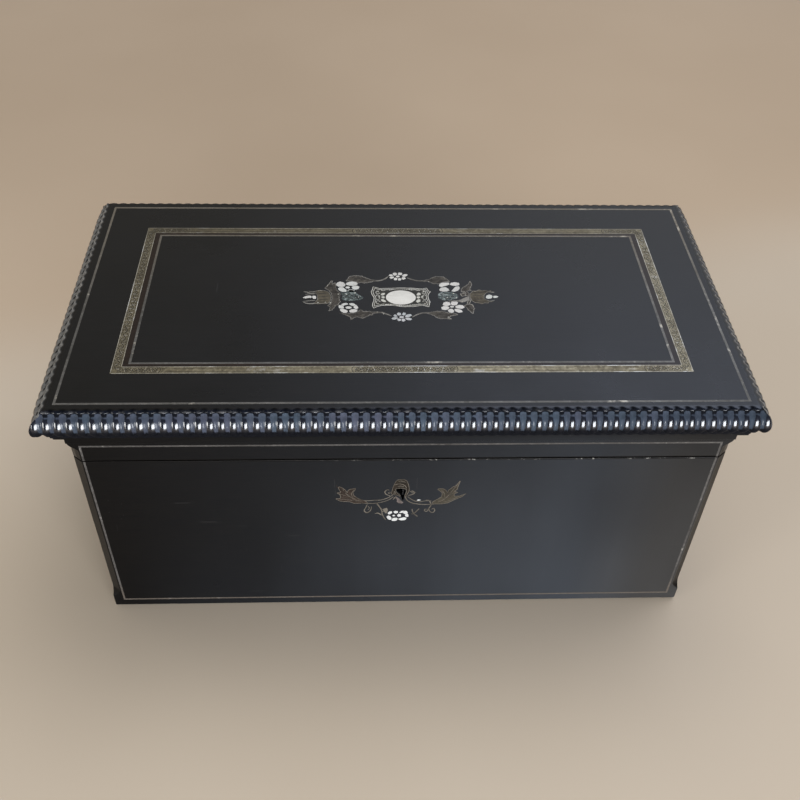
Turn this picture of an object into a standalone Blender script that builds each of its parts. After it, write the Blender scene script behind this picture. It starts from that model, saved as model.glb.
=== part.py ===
"""Ebonised antique casket with an inlaid, ripple-moulded lid on two butt hinges.

Frame: metres, +Z up, X along the length (right as seen from the front), the
front faces -Y, the origin is on the ground under the middle of the lid.

The carcase is five boards; the lid is a mitred frame of four rails, each with
a cove worked on it, under a flat panel whose edge carries four mitred ripple
mouldings. Stringing, band, cartouche and keyhole ornament are thin plates let
into pockets. A box lock with a sliding bolt sits in the front wall and its
strike plate, with two loops, under the lid's front rail.
"""
import math

import bmesh
import bpy
import numpy as np
from mathutils import Matrix, Vector

MM = 0.001
GAP = 0.3                      # clearance between neighbouring pieces

# ---- driving dimensions, millimetres -------------------------------------
HALF_X = 204.0                 # carcase, half length
HALF_Y = 101.6                 # carcase, half depth
WALL = 12.0
BODY_TOP = 153.9
LID_BOTTOM = 154.7
RAIL_TOP = 170.0               # where the cove starts
COVE_OUT = 5.0                 # the fillet over the cove stands out this far
PANEL_OUT = 4.0                # and the lid panel this far; the ripple moulding is rebated over the cove
PANEL_BOTTOM = 191.7
LID_TOP = 204.0
RIPPLE_OUT = 13.6              # outermost reach of the ripple moulding
RIPPLE_BOTTOM = 188.6
BASE_THICK = 10.0
CANT_X, CANT_Y = 6.0, 5.0      # canted vertical corners
CANT_STOP = 19.0               # the cant runs out above the base

STRING = 1.3                   # width of a stringing line
INLAY = 0.9                    # thickness of an inlaid plate
OUTER_LINE = (204.6, 102.7)    # half sizes to the line's outer edge
BAND = (176.6, 76.4)
BAND_WIDTH = 6.2
INNER_LINE = (166.9, 67.8)
FRONT_LINE_X = 197.2
FRONT_LINE_BOTTOM = 6.6
RAIL_LINE_TOP = 168.2

CENTRE_Y = -3.0                # the cartouche sits a little forward of the middle
ORN_X = -1.3                   # middle of the keyhole ornament and the lock
KEY_Z = 122.8
KEY_R = 3.1

HINGE_X = 125.0
HINGE_LEN = 50.0
PIVOT_Y, PIVOT_Z = 103.2, 154.3
BARREL_R, BORE_R, PIN_R = 2.4, 1.3, 1.2
LEAF = 1.5

BOLT_TRAVEL = 5.0
LOOP_X = 14.0

# ---- scene set-up ---------------------------------------------------------
for ob in list(bpy.data.objects):
    bpy.data.objects.remove(ob, do_unlink=True)

casket = bpy.data.collections.new("antique_casket")
cutters = bpy.data.collections.new("cutters")
bpy.context.scene.collection.children.link(casket)
bpy.context.scene.collection.children.link(cutters)


def principled(name, rgb, rough, metal=0.0):
    m = bpy.data.materials.new(name)
    m.use_nodes = True
    b = m.node_tree.nodes["Principled BSDF"]
    b.inputs["Base Color"].default_value = (*rgb, 1.0)
    b.inputs["Roughness"].default_value = rough
    b.inputs["Metallic"].default_value = metal
    m.diffuse_color = (*rgb, 1.0)
    return m


LOOKS = {
    "ebonised": ((0.012, 0.011, 0.011), 0.32, 0.0),
    "ebonised_gloss": ((0.008, 0.009, 0.012), 0.12, 0.0),
    "brass": ((0.52, 0.40, 0.22), 0.35, 1.0),
    "pale_metal": ((0.60, 0.57, 0.48), 0.30, 1.0),
    "pearl": ((0.82, 0.80, 0.74), 0.25, 0.0),
    "green_shell": ((0.10, 0.18, 0.14), 0.25, 0.0),
    "silk": ((0.30, 0.02, 0.03), 0.60, 0.0),
    "steel": ((0.30, 0.30, 0.31), 0.38, 1.0),
}


def finish(ob, look):
    """One material of its own for each piece."""
    rgb, rough, metal = LOOKS[look]
    ob.data.materials.clear()
    ob.data.materials.append(principled(ob.name, rgb, rough, metal))
    return ob


def put(ob, name, col):
    ob.name = name
    ob.data.name = name
    for c in list(ob.users_collection):
        c.objects.unlink(ob)
    col.objects.link(ob)
    if col is cutters:
        ob.hide_render = True
        ob.display_type = "WIRE"
    return ob


def box(name, lo, hi, col=casket, look=None):
    """A box from its two corners, in millimetres."""
    lo, hi = Vector(lo) * MM, Vector(hi) * MM
    bpy.ops.mesh.primitive_cube_add(size=1.0, location=(lo + hi) / 2)
    ob = put(bpy.context.object, name, col)
    ob.data.transform(Matrix.Diagonal((*(hi - lo), 1.0)))
    return finish(ob, look) if look else ob


def rod(name, p, axis, r, length, col=casket, look=None, sides=16, r2=None):
    """A round bar or cone centred on p along an axis, in millimetres."""
    rot = {"X": (0, math.pi / 2, 0), "Y": (math.pi / 2, 0, 0), "Z": (0, 0, 0)}[axis]
    bpy.ops.mesh.primitive_cone_add(vertices=sides, radius1=r * MM, radius2=(r if r2 is None else r2) * MM,
                                    depth=length * MM, location=Vector(p) * MM, rotation=rot)
    ob = put(bpy.context.object, name, col)
    return finish(ob, look) if look else ob


def boolean(ob, other, operation="DIFFERENCE"):
    m = ob.modifiers.new(other.name, "BOOLEAN")
    m.operation = operation
    m.solver = "EXACT"
    m.object = other
    return m


def cut(ob, *others):
    for o in others:
        boolean(ob, o)


def join(ob, *others):
    for o in others:
        boolean(ob, o, "UNION")


# ---- flat outlines --------------------------------------------------------
def smooth(points, per=4, closed=False):
    """Catmull-Rom through points of any dimension."""
    p = np.array(points, float)
    n = len(p)
    out = []
    for i in range(n if closed else n - 1):
        if closed:
            a, b, c, d = p[(i - 1) % n], p[i], p[(i + 1) % n], p[(i + 2) % n]
        else:
            a, b, c, d = p[max(i - 1, 0)], p[i], p[i + 1], p[min(i + 2, n - 1)]
        for k in range(per):
            t = k / per
            out.append(0.5 * (2 * b + (c - a) * t + (2 * a - 5 * b + 4 * c - d) * t ** 2
                              + (3 * b - a - 3 * c + d) * t ** 3))
    if not closed:
        out.append(p[-1])
    return np.array(out)


def f_disc(x, y, cx, cy, rx, ry, turn=0.0):
    c, s = math.cos(turn), math.sin(turn)
    u, v = (x - cx) * c + (y - cy) * s, -(x - cx) * s + (y - cy) * c
    k = np.hypot(u / rx, v / ry)
    return (k - 1.0) * np.minimum(rx, ry) * (0.5 + 0.5 * np.clip(k, 0, 1))


def f_stroke(x, y, pts):
    """Distance to a tapering stroke; each point is (x, y, half width)."""
    p = smooth(pts)
    d = np.full_like(x, 1e3)
    for a, b in zip(p[:-1], p[1:]):
        e = b[:2] - a[:2]
        t = np.clip(((x - a[0]) * e[0] + (y - a[1]) * e[1]) / max(e @ e, 1e-9), 0, 1)
        d = np.minimum(d, np.hypot(x - a[0] - t * e[0], y - a[1] - t * e[1]) - (a[2] + t * (b[2] - a[2])))
    return d


def f_poly(x, y, pts):
    """Signed distance to a closed polygon, negative inside."""
    p = np.array(pts, float)
    q = np.roll(p, -1, axis=0)
    d = np.full_like(x, 1e6)
    inside = np.zeros(x.shape, bool)
    for a, b in zip(p, q):
        e = b - a
        t = np.clip(((x - a[0]) * e[0] + (y - a[1]) * e[1]) / max(e @ e, 1e-12), 0, 1)
        d = np.minimum(d, (x - a[0] - t * e[0]) ** 2 + (y - a[1] - t * e[1]) ** 2)
        if a[1] != b[1]:
            cross = ((a[1] > y) != (b[1] > y)) & (x < (b[0] - a[0]) * (y - a[1]) / (b[1] - a[1]) + a[0])
            inside ^= cross
    return np.where(inside, -1.0, 1.0) * np.sqrt(d)


def trace(field, window, step=0.5, level=0.0, tol=0.13):
    """Closed loops where the field equals level, by marching squares, thinned to tol.
    The sampling grid is turned a little, so that no run of points shares one height."""
    x0, y0, x1, y1 = window
    mx, my, c, s = (x0 + x1) / 2, (y0 + y1) / 2, math.cos(0.13), math.sin(0.13)
    hx, hy = ((x1 - x0) * c + (y1 - y0) * s) / 2, ((x1 - x0) * s + (y1 - y0) * c) / 2
    xs = np.arange(-hx, hx + step, step)
    ys = np.arange(-hy, hy + step, step)
    gx, gy = np.meshgrid(xs, ys, indexing="ij")
    v = field(mx + gx * c - gy * s, my + gx * s + gy * c) - level
    v[np.abs(v) < 1e-6] = 1e-6
    table = {1: [(3, 0)], 2: [(0, 1)], 3: [(3, 1)], 4: [(1, 2)], 5: [(3, 2), (1, 0)], 6: [(0, 2)], 7: [(3, 2)],
             8: [(2, 3)], 9: [(2, 0)], 10: [(0, 3), (2, 1)], 11: [(2, 1)], 12: [(1, 3)], 13: [(1, 0)], 14: [(0, 3)]}
    ins = v < 0
    code = (ins[:-1, :-1] * 1 + ins[1:, :-1] * 2 + ins[1:, 1:] * 4 + ins[:-1, 1:] * 8)
    nxt, pos = {}, {}

    def edge(i, j, e):
        (ia, ja), (ib, jb) = {0: ((i, j), (i + 1, j)), 1: ((i + 1, j), (i + 1, j + 1)),
                              2: ((i, j + 1), (i + 1, j + 1)), 3: ((i, j), (i, j + 1))}[e]
        key = (ia, ja, ib, jb)
        if key not in pos:
            t = v[ia, ja] / (v[ia, ja] - v[ib, jb])
            pos[key] = np.array((xs[ia] + t * (xs[ib] - xs[ia]), ys[ja] + t * (ys[jb] - ys[ja])))
        return key

    for i, j in zip(*np.nonzero((code > 0) & (code < 15))):
        for a, b in table[int(code[i, j])]:
            nxt[edge(i, j, a)] = edge(i, j, b)
    loops = []
    while nxt:
        start = next(iter(nxt))
        loop, k = [], start
        while k in nxt:
            u, w = pos[k]
            loop.append((mx + u * c - w * s, my + u * s + w * c))
            k = nxt.pop(k)
        loops.append(np.array(loop))

    def thin(p):
        if len(p) < 3:
            return p
        a, b = p[0], p[-1]
        e = b - a
        n = np.hypot(*e)
        d = np.abs(e[0] * (p[:, 1] - a[1]) - e[1] * (p[:, 0] - a[0])) / n if n > 1e-9 else np.hypot(*(p - a).T)
        k = int(np.argmax(d))
        if d[k] <= tol:
            return p[[0, -1]]
        return np.vstack((thin(p[:k + 1])[:-1], thin(p[k:])))

    out = []
    for p in loops:
        area = 0.5 * abs(np.sum(p[:, 0] * np.roll(p[:, 1], -1) - p[:, 1] * np.roll(p[:, 0], -1)))
        if area < 0.6:
            continue
        k = int(np.argmax(np.hypot(*(p - p[0]).T)))
        q = np.vstack((thin(p[:k + 1])[:-1], thin(np.vstack((p[k:], p[:1])))[:-1]))
        out.append(q)
    return out


def plate(name, loops, low, high, face="top", col=casket, look=None):
    """A flat outline given thickness. On the top face low and high are heights;
    on the front face they are how far out of the ground the plate's back and front lie (-Y)."""
    cu = bpy.data.curves.new(name, "CURVE")
    cu.dimensions = "2D"
    cu.fill_mode = "BOTH"
    cu.extrude = (high - low) / 2 * MM
    for loop in loops:
        sp = cu.splines.new("POLY")
        sp.points.add(len(loop) - 1)
        sp.points.foreach_set("co", np.hstack((loop * MM, np.zeros((len(loop), 1)), np.ones((len(loop), 1)))).ravel())
        sp.use_cyclic_u = True
    ob = bpy.data.objects.new(name, cu)
    col.objects.link(ob)
    if face == "top":
        ob.location = (0, 0, (low + high) / 2 * MM)
    else:
        ob.rotation_euler = (math.pi / 2, 0, 0)
        ob.location = (0, -(low + high) / 2 * MM, 0)
    if look is None:
        return as_mesh(ob, col)
    return finish(ob, look)


def as_mesh(ob, col):
    """A curve object as a welded mesh object."""
    bpy.context.view_layer.update()
    dg = bpy.context.evaluated_depsgraph_get()
    me = bpy.data.meshes.new_from_object(ob.evaluated_get(dg))
    bm = bmesh.new()
    bm.from_mesh(me)
    bmesh.ops.remove_doubles(bm, verts=bm.verts, dist=1e-7)
    bm.to_mesh(me)
    bm.free()
    new = bpy.data.objects.new(ob.name, me)
    new.matrix_world = ob.matrix_world.copy()
    name = ob.name
    bpy.data.objects.remove(ob, do_unlink=True)
    col.objects.link(new)
    return put(new, name, col)


def rectangle(hx, hy, cx=0.0, cy=0.0):
    return np.array([(cx - hx, cy - hy), (cx + hx, cy - hy), (cx + hx, cy + hy), (cx - hx, cy + hy)], float)


def bar(name, profile, half, side, look, gap=0.22):
    """A mitred length of moulding. The profile is (out, z) round the section; the
    end of each line lies on the mitre, at half + out along the length."""
    cu = bpy.data.curves.new(name, "CURVE")
    cu.dimensions = "2D"
    cu.fill_mode = "BOTH"
    cu.extrude = 0.01
    sp = cu.splines.new("POLY")
    sp.points.add(len(profile) - 1)
    for k, (o, z) in enumerate(profile):
        sp.points[k].co = (o * MM, z * MM, 0, 1)
    sp.use_cyclic_u = True
    ob = bpy.data.objects.new(name, cu)
    casket.objects.link(ob)
    ob = as_mesh(ob, casket)
    other = HALF_Y if side in ("front", "back") else HALF_X
    for v in ob.data.vertices:
        o, z, s = v.co.x / MM, v.co.y / MM, math.copysign(1.0, v.co.z)
        along, out = s * (half + o - gap), other + o
        v.co = {"front": (along, -out, z), "back": (-along, out, z),
                "left": (-out, -along, z), "right": (out, along, z)}[side]
        v.co = v.co * MM
    bm = bmesh.new()
    bm.from_mesh(ob.data)
    bmesh.ops.recalc_face_normals(bm, faces=bm.faces)
    bm.to_mesh(ob.data)
    bm.free()
    return finish(ob, look)


# ---- carcase ---------------------------------------------------------------
IN_X, IN_Y = HALF_X - WALL, HALF_Y - WALL
box("base_board", (-IN_X + GAP, -IN_Y + GAP, 0), (IN_X - GAP, IN_Y - GAP, BASE_THICK), look="ebonised")
front_wall = box("front_wall", (-HALF_X, -HALF_Y, 0), (HALF_X, -IN_Y, BODY_TOP), look="ebonised")
back_wall = box("back_wall", (-HALF_X, IN_Y, 0), (HALF_X, HALF_Y, BODY_TOP), look="ebonised")
for s, side in ((-1, "left"), (1, "right")):
    x = sorted((s * IN_X, s * HALF_X))
    box(side + "_wall", (x[0], -IN_Y + GAP, 0), (x[1], IN_Y - GAP, BODY_TOP), look="ebonised")


def cant(name, sx, sy, z0, z1, stopped):
    """A cutter that takes off one vertical corner, running out at a slope at its foot."""
    ob = box(name, (-15, 0, z0), (15, 12, z1), col=cutters)
    if stopped:
        for v in ob.data.vertices:
            if (ob.matrix_world.translation.z + v.co.z) / MM < z0 + 1 and v.co.y > 0:
                v.co.z -= 22 * MM
    # its near face passes through the two arrises of the cant
    ax, ay = sx * (HALF_X - CANT_X), sy * HALF_Y
    bx, by = sx * HALF_X, sy * (HALF_Y - CANT_Y)
    mid = Vector(((ax + bx) / 2, (ay + by) / 2, 0)) * MM
    out = Vector((sx * CANT_Y, sy * CANT_X, 0)).normalized()
    z = ob.location.z
    ob.data.transform(Matrix.Translation((0, 6 * MM, 0)))
    ob.location = (mid.x, mid.y, z)
    ob.rotation_euler = (0, 0, math.atan2(out.y, out.x) - math.pi / 2)
    return ob


for sx, a in ((-1, "left"), (1, "right")):
    for sy, wall, b in ((-1, front_wall, "front"), (1, back_wall, "back")):
        cut(wall, cant(f"cant_{b}_{a}", sx, sy, CANT_STOP, 170, True))

# ---- lid frame, panel and mouldings ---------------------------------------
cove = [(0.6 + (COVE_OUT - 0.6) * (1 - math.cos(t)), 174.0 + 5.0 * math.sin(t))
        for t in np.radians(np.linspace(0, 90, 6))]
RAIL = [(-WALL, LID_BOTTOM), (0, LID_BOTTOM), (0, RAIL_TOP), (0.6, RAIL_TOP + 0.6)] + cove + \
       [(COVE_OUT, PANEL_BOTTOM - GAP), (-WALL, PANEL_BOTTOM - GAP)]
# a half round under a square quirk, its line that of the ripples' crests
RIPPLE = [(COVE_OUT + GAP, RIPPLE_BOTTOM)] + \
         [(RIPPLE_OUT - 6.1 + 6.1 * math.cos(t), 194.6 + 6.1 * math.sin(t)) for t in np.radians(np.linspace(-72, 72, 11))] + \
         [(9.3, 203.3), (8.6, LID_TOP), (PANEL_OUT + GAP, LID_TOP), (PANEL_OUT + GAP, PANEL_BOTTOM),
          (COVE_OUT + GAP, PANEL_BOTTOM)]
rails = {}
for side in ("front", "back", "left", "right"):
    half = HALF_X if side in ("front", "back") else HALF_Y
    rails[side] = bar(f"lid_{side}_rail", RAIL, half, side, "ebonised")
    bar(f"ripple_moulding_{side}", RIPPLE, half, side, "ebonised_gloss")
for sx, a in ((-1, "left"), (1, "right")):
    for sy, b in ((-1, "front"), (1, "back")):
        c = cant(f"lid_cant_{b}_{a}", sx, sy, LID_BOTTOM - 5, RAIL_TOP - 0.7, False)
        cut(rails[a], c)
        cut(rails[b], c)
panel = box("lid_top_panel", (-HALF_X - PANEL_OUT, -HALF_Y - PANEL_OUT, PANEL_BOTTOM),
            (HALF_X + PANEL_OUT, HALF_Y + PANEL_OUT, LID_TOP), look="ebonised")


def ring(name, hx, hy, width, look):
    """A rectangular line let into the lid, and its groove."""
    plate(name, [rectangle(hx, hy), rectangle(hx - width, hy - width)], LID_TOP - INLAY, LID_TOP, look=look)
    cut(panel, plate(name + "_groove", [rectangle(hx + GAP, hy + GAP), rectangle(hx - width - GAP, hy - width - GAP)],
                     LID_TOP - INLAY - GAP, LID_TOP + 2, col=cutters))


ring("lid_outer_stringing", *OUTER_LINE, STRING, "brass")
ring("lid_engraved_band", *BAND, BAND_WIDTH, "brass")
ring("lid_inner_stringing", *INNER_LINE, STRING, "brass")

# ---- cartouche -------------------------------------------------------------
# Each flower: name, centre, half width, half height, petals, first petal's angle.
FLOWERS = [("flower_left_back", -35.3, 8.6, 7.6, 5.8, 5, 100), ("flower_left_front", -34.5, -14.0, 6.6, 5.0, 5, 80),
           ("flower_right_back", 32.7, 8.4, 7.0, 5.0, 5, 95), ("flower_right_front", 33.2, -13.3, 7.4, 5.0, 6, 70),
           ("daisy_back", -1.4, 19.5, 6.4, 4.3, 7, 90), ("daisy_front", -0.5, -23.8, 6.5, 4.3, 7, 64)]


def f_flower(x, y, cx, cy, rx, ry, petals, first):
    d = f_disc(x, y, cx, cy, rx * 0.62, ry * 0.62)
    for k in range(petals):
        a = math.radians(first + 360.0 * k / petals)
        px, py = cx + 0.56 * rx * math.cos(a), cy + 0.56 * ry * math.sin(a)
        d = np.minimum(d, f_disc(x, y, px, py, rx * 0.44, ry * 0.44))
    return d


def f_flowers(x, y):
    d = np.full_like(x, 1e3)
    for f in FLOWERS:
        d = np.minimum(d, f_flower(x, y, *f[1:]))
    return d


PLAQUE = [(-18.0, 8.6), (-20.0, 3.2), (-18.7, -3.0), (-19.6, -9.4), (-18.0, -14.4), (-8.5, -12.8), (0.0, -13.2),
          (8.5, -12.8), (17.8, -14.2), (19.6, -9.2), (18.4, -2.4), (20.0, 3.4), (17.6, 8.0), (8.9, 6.6), (0.4, 7.4),
          (-8.0, 6.6)]
OVAL = (0.0, -3.0, 9.6, 7.6)


def f_plaque(x, y):
    return np.maximum(f_poly(x, y, PLAQUE), -(f_disc(x, y, *OVAL) - GAP))


def f_shell(x, y, s):
    return f_stroke(x, y, [(s * 27.4, -3.4, 0.9), (s * 31.0, -2.2, 3.0), (s * 35.0, -2.2, 2.4), (s * 38.2, -2.4, 1.2)])


# One side's spray: the leaf at each corner of the frame with its strap, the stem
# behind the flowers, the calyx and the bud that closes the end.
SPRAY = [[(4.4, 17.6, 0.5), (7.7, 16.4, 0.6), (13.0, 14.9, 0.8), (20.0, 15.6, 1.6), (26.0, 16.6, 2.6),
          (31.0, 17.2, 1.5), (33.4, 18.6, 0.7)],
         [(25.0, 15.0, 1.6), (33.0, 15.6, 0.9), (41.0, 15.6, 0.7), (44.6, 9.0, 0.8), (43.6, 3.0, 0.9), (43.2, -2.6, 1.8)],
         [(4.6, -22.2, 0.5), (8.8, -20.7, 0.7), (14.0, -19.3, 0.9), (20.0, -19.5, 1.5), (26.5, -21.0, 2.6),
          (31.5, -22.4, 1.4), (33.6, -25.6, 0.6)],
         [(26.0, -21.0, 1.6), (35.0, -20.8, 0.8), (42.0, -18.6, 0.7), (43.6, -11.0, 0.9), (43.2, -3.0, 1.6)],
         [(42.6, 1.2, 1.4), (44.8, 6.0, 1.8), (46.6, 12.6, 0.6)],
         [(42.6, -6.0, 1.4), (44.8, -10.8, 1.8), (46.8, -16.4, 0.6)],
         [(43.0, -2.6, 1.8), (47.5, -2.6, 3.4), (52.0, -2.6, 5.2), (56.0, -2.6, 5.0)],
         [(52.0, 0.6, 2.4), (58.0, 2.6, 1.9), (63.6, 3.2, 0.5)],
         [(54.0, -2.6, 3.0), (58.5, -2.6, 2.2), (63.8, -2.6, 0.6)],
         [(52.0, -5.8, 2.4), (58.0, -8.0, 1.9), (63.6, -8.6, 0.5)]]


def f_spray(x, y, s):
    d = np.full_like(x, 1e3)
    for st in SPRAY:
        d = np.minimum(d, f_stroke(x, y, [(s * a, b, r) for a, b, r in st]))
    keep_off = np.minimum(f_flowers(x, y), f_shell(x, y, s))
    return np.maximum(d, -(keep_off - GAP))


def f_cartouche(x, y):
    d = np.minimum(f_poly(x, y, PLAQUE), f_flowers(x, y))
    for s in (-1, 1):
        d = np.minimum(d, np.minimum(f_shell(x, y, s), f_spray(x, y, s)))
    return d


LID_IN = (LID_TOP - INLAY, LID_TOP)
plate("cartouche_plaque", trace(f_plaque, (-22, -17, 22, 11)), *LID_IN, look="pale_metal")
plate("cartouche_oval", trace(lambda x, y: f_disc(x, y, *OVAL), (-12, -13, 12, 7)), *LID_IN, look="pearl")
for f in FLOWERS:
    name, cx, cy, rx, ry = f[:5]
    plate(name, trace(lambda x, y: f_flower(x, y, *f[1:]), (cx - rx - 1, cy - ry - 1, cx + rx + 1, cy + ry + 1)),
          *LID_IN, look="pearl")
for s, side in ((-1, "left"), (1, "right")):
    w = (22, -8, 42, 4) if s > 0 else (-42, -8, -22, 4)
    plate("green_shell_" + side, trace(lambda x, y: f_shell(x, y, s), w), *LID_IN, look="green_shell")
    w = (2, -30, 67, 22) if s > 0 else (-67, -30, -2, 22)
    loops = trace(lambda x, y: f_spray(x, y, s), w)
    biggest = max(loops, key=lambda p: np.ptp(p[:, 0]))
    inner = [p for p in loops if p is biggest or (
        f_poly(p[:1, 0], p[:1, 1], biggest)[0] < 0 and
        0.5 * np.sum(p[:, 0] * np.roll(p[:, 1], -1) - p[:, 1] * np.roll(p[:, 0], -1)) *
        np.sum(biggest[:, 0] * np.roll(biggest[:, 1], -1) - biggest[:, 1] * np.roll(biggest[:, 0], -1)) < 0)]
    plate("foliage_" + side, inner, *LID_IN, look="brass")
cut(panel, plate("cartouche_pocket", trace(f_cartouche, (-69, -32, 69, 26), level=GAP),
                 LID_TOP - INLAY - GAP, LID_TOP + 2, col=cutters))

# ---- front stringing --------------------------------------------------------
FRONT_IN = (HALF_Y - INLAY, HALF_Y)


def u_line(x, z_open, z_closed, width):
    """A three-sided line, open at z_open."""
    s = math.copysign(1.0, z_closed - z_open)
    return np.array([(-x, z_open), (-x, z_closed), (x, z_closed), (x, z_open), (x - width, z_open),
                     (x - width, z_closed - s * width), (-x + width, z_closed - s * width), (-x + width, z_open)])


def grow_u(x, z_open, z_closed, width, g):
    s = math.copysign(1.0, z_closed - z_open)
    return u_line(x + g, z_open - s * 3, z_closed + s * g, width + 2 * g)


plate("body_front_stringing", [u_line(FRONT_LINE_X, BODY_TOP - 0.2, FRONT_LINE_BOTTOM, STRING)], *FRONT_IN,
      face="front", look="brass")
cut(front_wall, plate("body_line_groove", [grow_u(FRONT_LINE_X, BODY_TOP, FRONT_LINE_BOTTOM, STRING, GAP)],
                      HALF_Y - INLAY - GAP, HALF_Y + 2, face="front", col=cutters))
plate("lid_front_stringing", [u_line(FRONT_LINE_X, LID_BOTTOM + 0.2, RAIL_LINE_TOP, STRING)], *FRONT_IN,
      face="front", look="brass")
cut(rails["front"], plate("lid_line_groove", [grow_u(FRONT_LINE_X, LID_BOTTOM, RAIL_LINE_TOP, STRING, GAP)],
                          HALF_Y - INLAY - GAP, HALF_Y + 2, face="front", col=cutters))


# ---- keyhole ornament -------------------------------------------------------
def f_keyhole(x, z):
    d = f_disc(x, z, ORN_X - 0.2, KEY_Z, KEY_R, KEY_R)
    return np.minimum(d, f_stroke(x, z, [(ORN_X - 0.2, KEY_Z, 1.5), (ORN_X - 0.2, KEY_Z - 5.8, 1.5)]))


BRASS = [[(-6.6, 117.5, 0.9), (-6.4, 124.0, 1.2), (-5.4, 130.6, 1.8), (-1.5, 133.0, 1.9), (2.2, 130.8, 1.8),
          (3.3, 124.0, 1.2), (3.0, 117.5, 0.9)],
         [(-4.5, 128.6, 1.6), (-1.4, 129.2, 2.4), (1.8, 128.6, 1.6)],
         [(-5.6, 118.6, 1.1), (-11.0, 116.4, 0.9), (-16.5, 114.0, 0.8), (-24.0, 113.6, 1.0), (-31.0, 116.2, 2.4),
          (-36.0, 119.0, 3.6), (-39.0, 123.0, 2.2), (-42.2, 128.8, 0.6)],
         [(-34.0, 118.0, 2.8), (-33.0, 122.6, 2.2), (-31.0, 125.8, 0.6)],
         [(-33.0, 116.6, 2.4), (-38.0, 116.6, 1.7), (-42.8, 117.4, 0.5)],
         [(2.4, 118.6, 1.0), (6.4, 113.6, 0.9), (12.0, 111.6, 0.8), (20.0, 112.0, 1.0), (27.0, 115.2, 2.6),
          (31.0, 120.0, 3.2), (33.6, 125.4, 1.8), (36.2, 131.8, 0.5)],
         [(28.0, 117.0, 2.6), (26.8, 122.4, 1.9), (23.0, 125.2, 0.6)],
         [(28.0, 114.6, 2.4), (34.0, 116.4, 1.9), (39.8, 120.2, 0.5)],
         [(-8.0, 117.6, 0.7), (-10.6, 120.8, 0.8), (-9.4, 124.4, 0.5)],
         [(5.0, 115.4, 0.7), (6.8, 119.6, 0.7), (9.2, 121.4, 0.5)],
         [(-22.6, 113.6, 0.6), (-24.2, 107.0, 0.7), (-21.6, 104.0, 0.7), (-20.4, 107.6, 0.5)],
         [(-17.4, 114.0, 0.6), (-14.6, 107.6, 0.6), (-12.8, 101.6, 0.8), (-11.6, 97.4, 0.5)],
         [(-14.2, 103.6, 0.6), (-17.2, 101.4, 0.5)], [(-13.0, 102.4, 0.8), (-11.6, 106.2, 0.5)],
         [(18.6, 111.8, 0.6), (17.4, 107.0, 0.6), (15.2, 103.4, 0.8), (14.2, 106.0, 0.5)],
         [(18.0, 108.8, 0.6), (20.8, 105.4, 0.7), (19.0, 102.8, 0.5)],
         [(12.6, 111.4, 0.5), (9.8, 105.4, 0.6), (6.0, 99.2, 0.7)], [(8.2, 102.6, 0.5), (9.8, 98.4, 0.5)]]
BLOOMS = [(-5.6, 98.9, 4.2, 4.5, 5, 54), (0.1, 99.1, 4.0, 4.4, 5, 90)]


def f_blooms(x, z):
    d = np.full_like(x, 1e3)
    for b in BLOOMS:
        d = np.minimum(d, f_flower(x, z, *b))
    return d


def f_key_brass(x, z):
    d = np.full_like(x, 1e3)
    for st in BRASS:
        d = np.minimum(d, f_stroke(x, z, st))
    return np.maximum(d, -(np.minimum(f_blooms(x, z), f_keyhole(x, z) + GAP) - GAP))


def one_body(loops):
    """The widest outline and the holes inside it."""
    def turn(p):
        return np.sum(p[:, 0] * np.roll(p[:, 1], -1) - p[:, 1] * np.roll(p[:, 0], -1))
    big = max(loops, key=lambda p: np.ptp(p[:, 0]))
    return [p for p in loops if p is big or (turn(p) * turn(big) < 0 and f_poly(p[:1, 0], p[:1, 1], big)[0] < 0)]


plate("keyhole_inlay", one_body(trace(f_key_brass, (-46, 92, 44, 138))), *FRONT_IN, face="front", look="brass")
plate("keyhole_flowers", one_body(trace(f_blooms, (-12, 92, 7, 106))), *FRONT_IN, face="front", look="pearl")
cut(front_wall,
    plate("ornament_pocket", trace(lambda x, z: np.minimum(f_key_brass(x, z), f_blooms(x, z)), (-48, 90, 46, 140),
                                   level=GAP), HALF_Y - INLAY - GAP, HALF_Y + 2, face="front", col=cutters))
key_cut = plate("keyhole_cut", trace(f_keyhole, (ORN_X - 5, KEY_Z - 10, ORN_X + 5, KEY_Z + 5), tol=0.05),
                HALF_Y - 8, HALF_Y + 4, face="front", col=cutters)

# ---- lock --------------------------------------------------------------------
LY0, LY1 = -97.0, -IN_Y - 0.1                  # lock case, front and back
CASE_Z0 = 110.4
PLATE_Z = BODY_TOP - LEAF
cut(front_wall, key_cut,
    box("lock_mortise", (ORN_X - 28.3, LY0 - GAP, CASE_Z0 - GAP), (ORN_X + 28.3, -IN_Y + 2, BODY_TOP + 5), col=cutters),
    box("selvedge_mortise", (ORN_X - 34.3, LY0 - 0.6 - GAP, PLATE_Z - GAP), (ORN_X + 34.3, -IN_Y + 2, BODY_TOP + 5),
        col=cutters))
case = box("lock_case", (ORN_X - 28, LY0, CASE_Z0), (ORN_X + 28, LY1, PLATE_Z + 0.5), look="steel")
join(case, box("selvedge", (ORN_X - 34, LY0 - 0.6, PLATE_Z), (ORN_X + 34, LY1, BODY_TOP), col=cutters))
YC = (LY0 + LY1) / 2                            # middle of the bolt, in depth
cut(case,
    box("bolt_chamber", (ORN_X - 26, LY0 + 1, 135.6), (ORN_X + 21, LY1 - 1, PLATE_Z - 0.3), col=cutters),
    box("key_chamber", (ORN_X - 8.2, LY0 + 1, CASE_Z0 + 2.5), (ORN_X + 8.2, LY1 - 1, 137), col=cutters),
    key_cut)
bolt = box("lock_bolt", (ORN_X - 24, YC - 1.2, 136.0), (ORN_X + 7.8, YC + 1.2, 141.0), look="steel")
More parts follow.
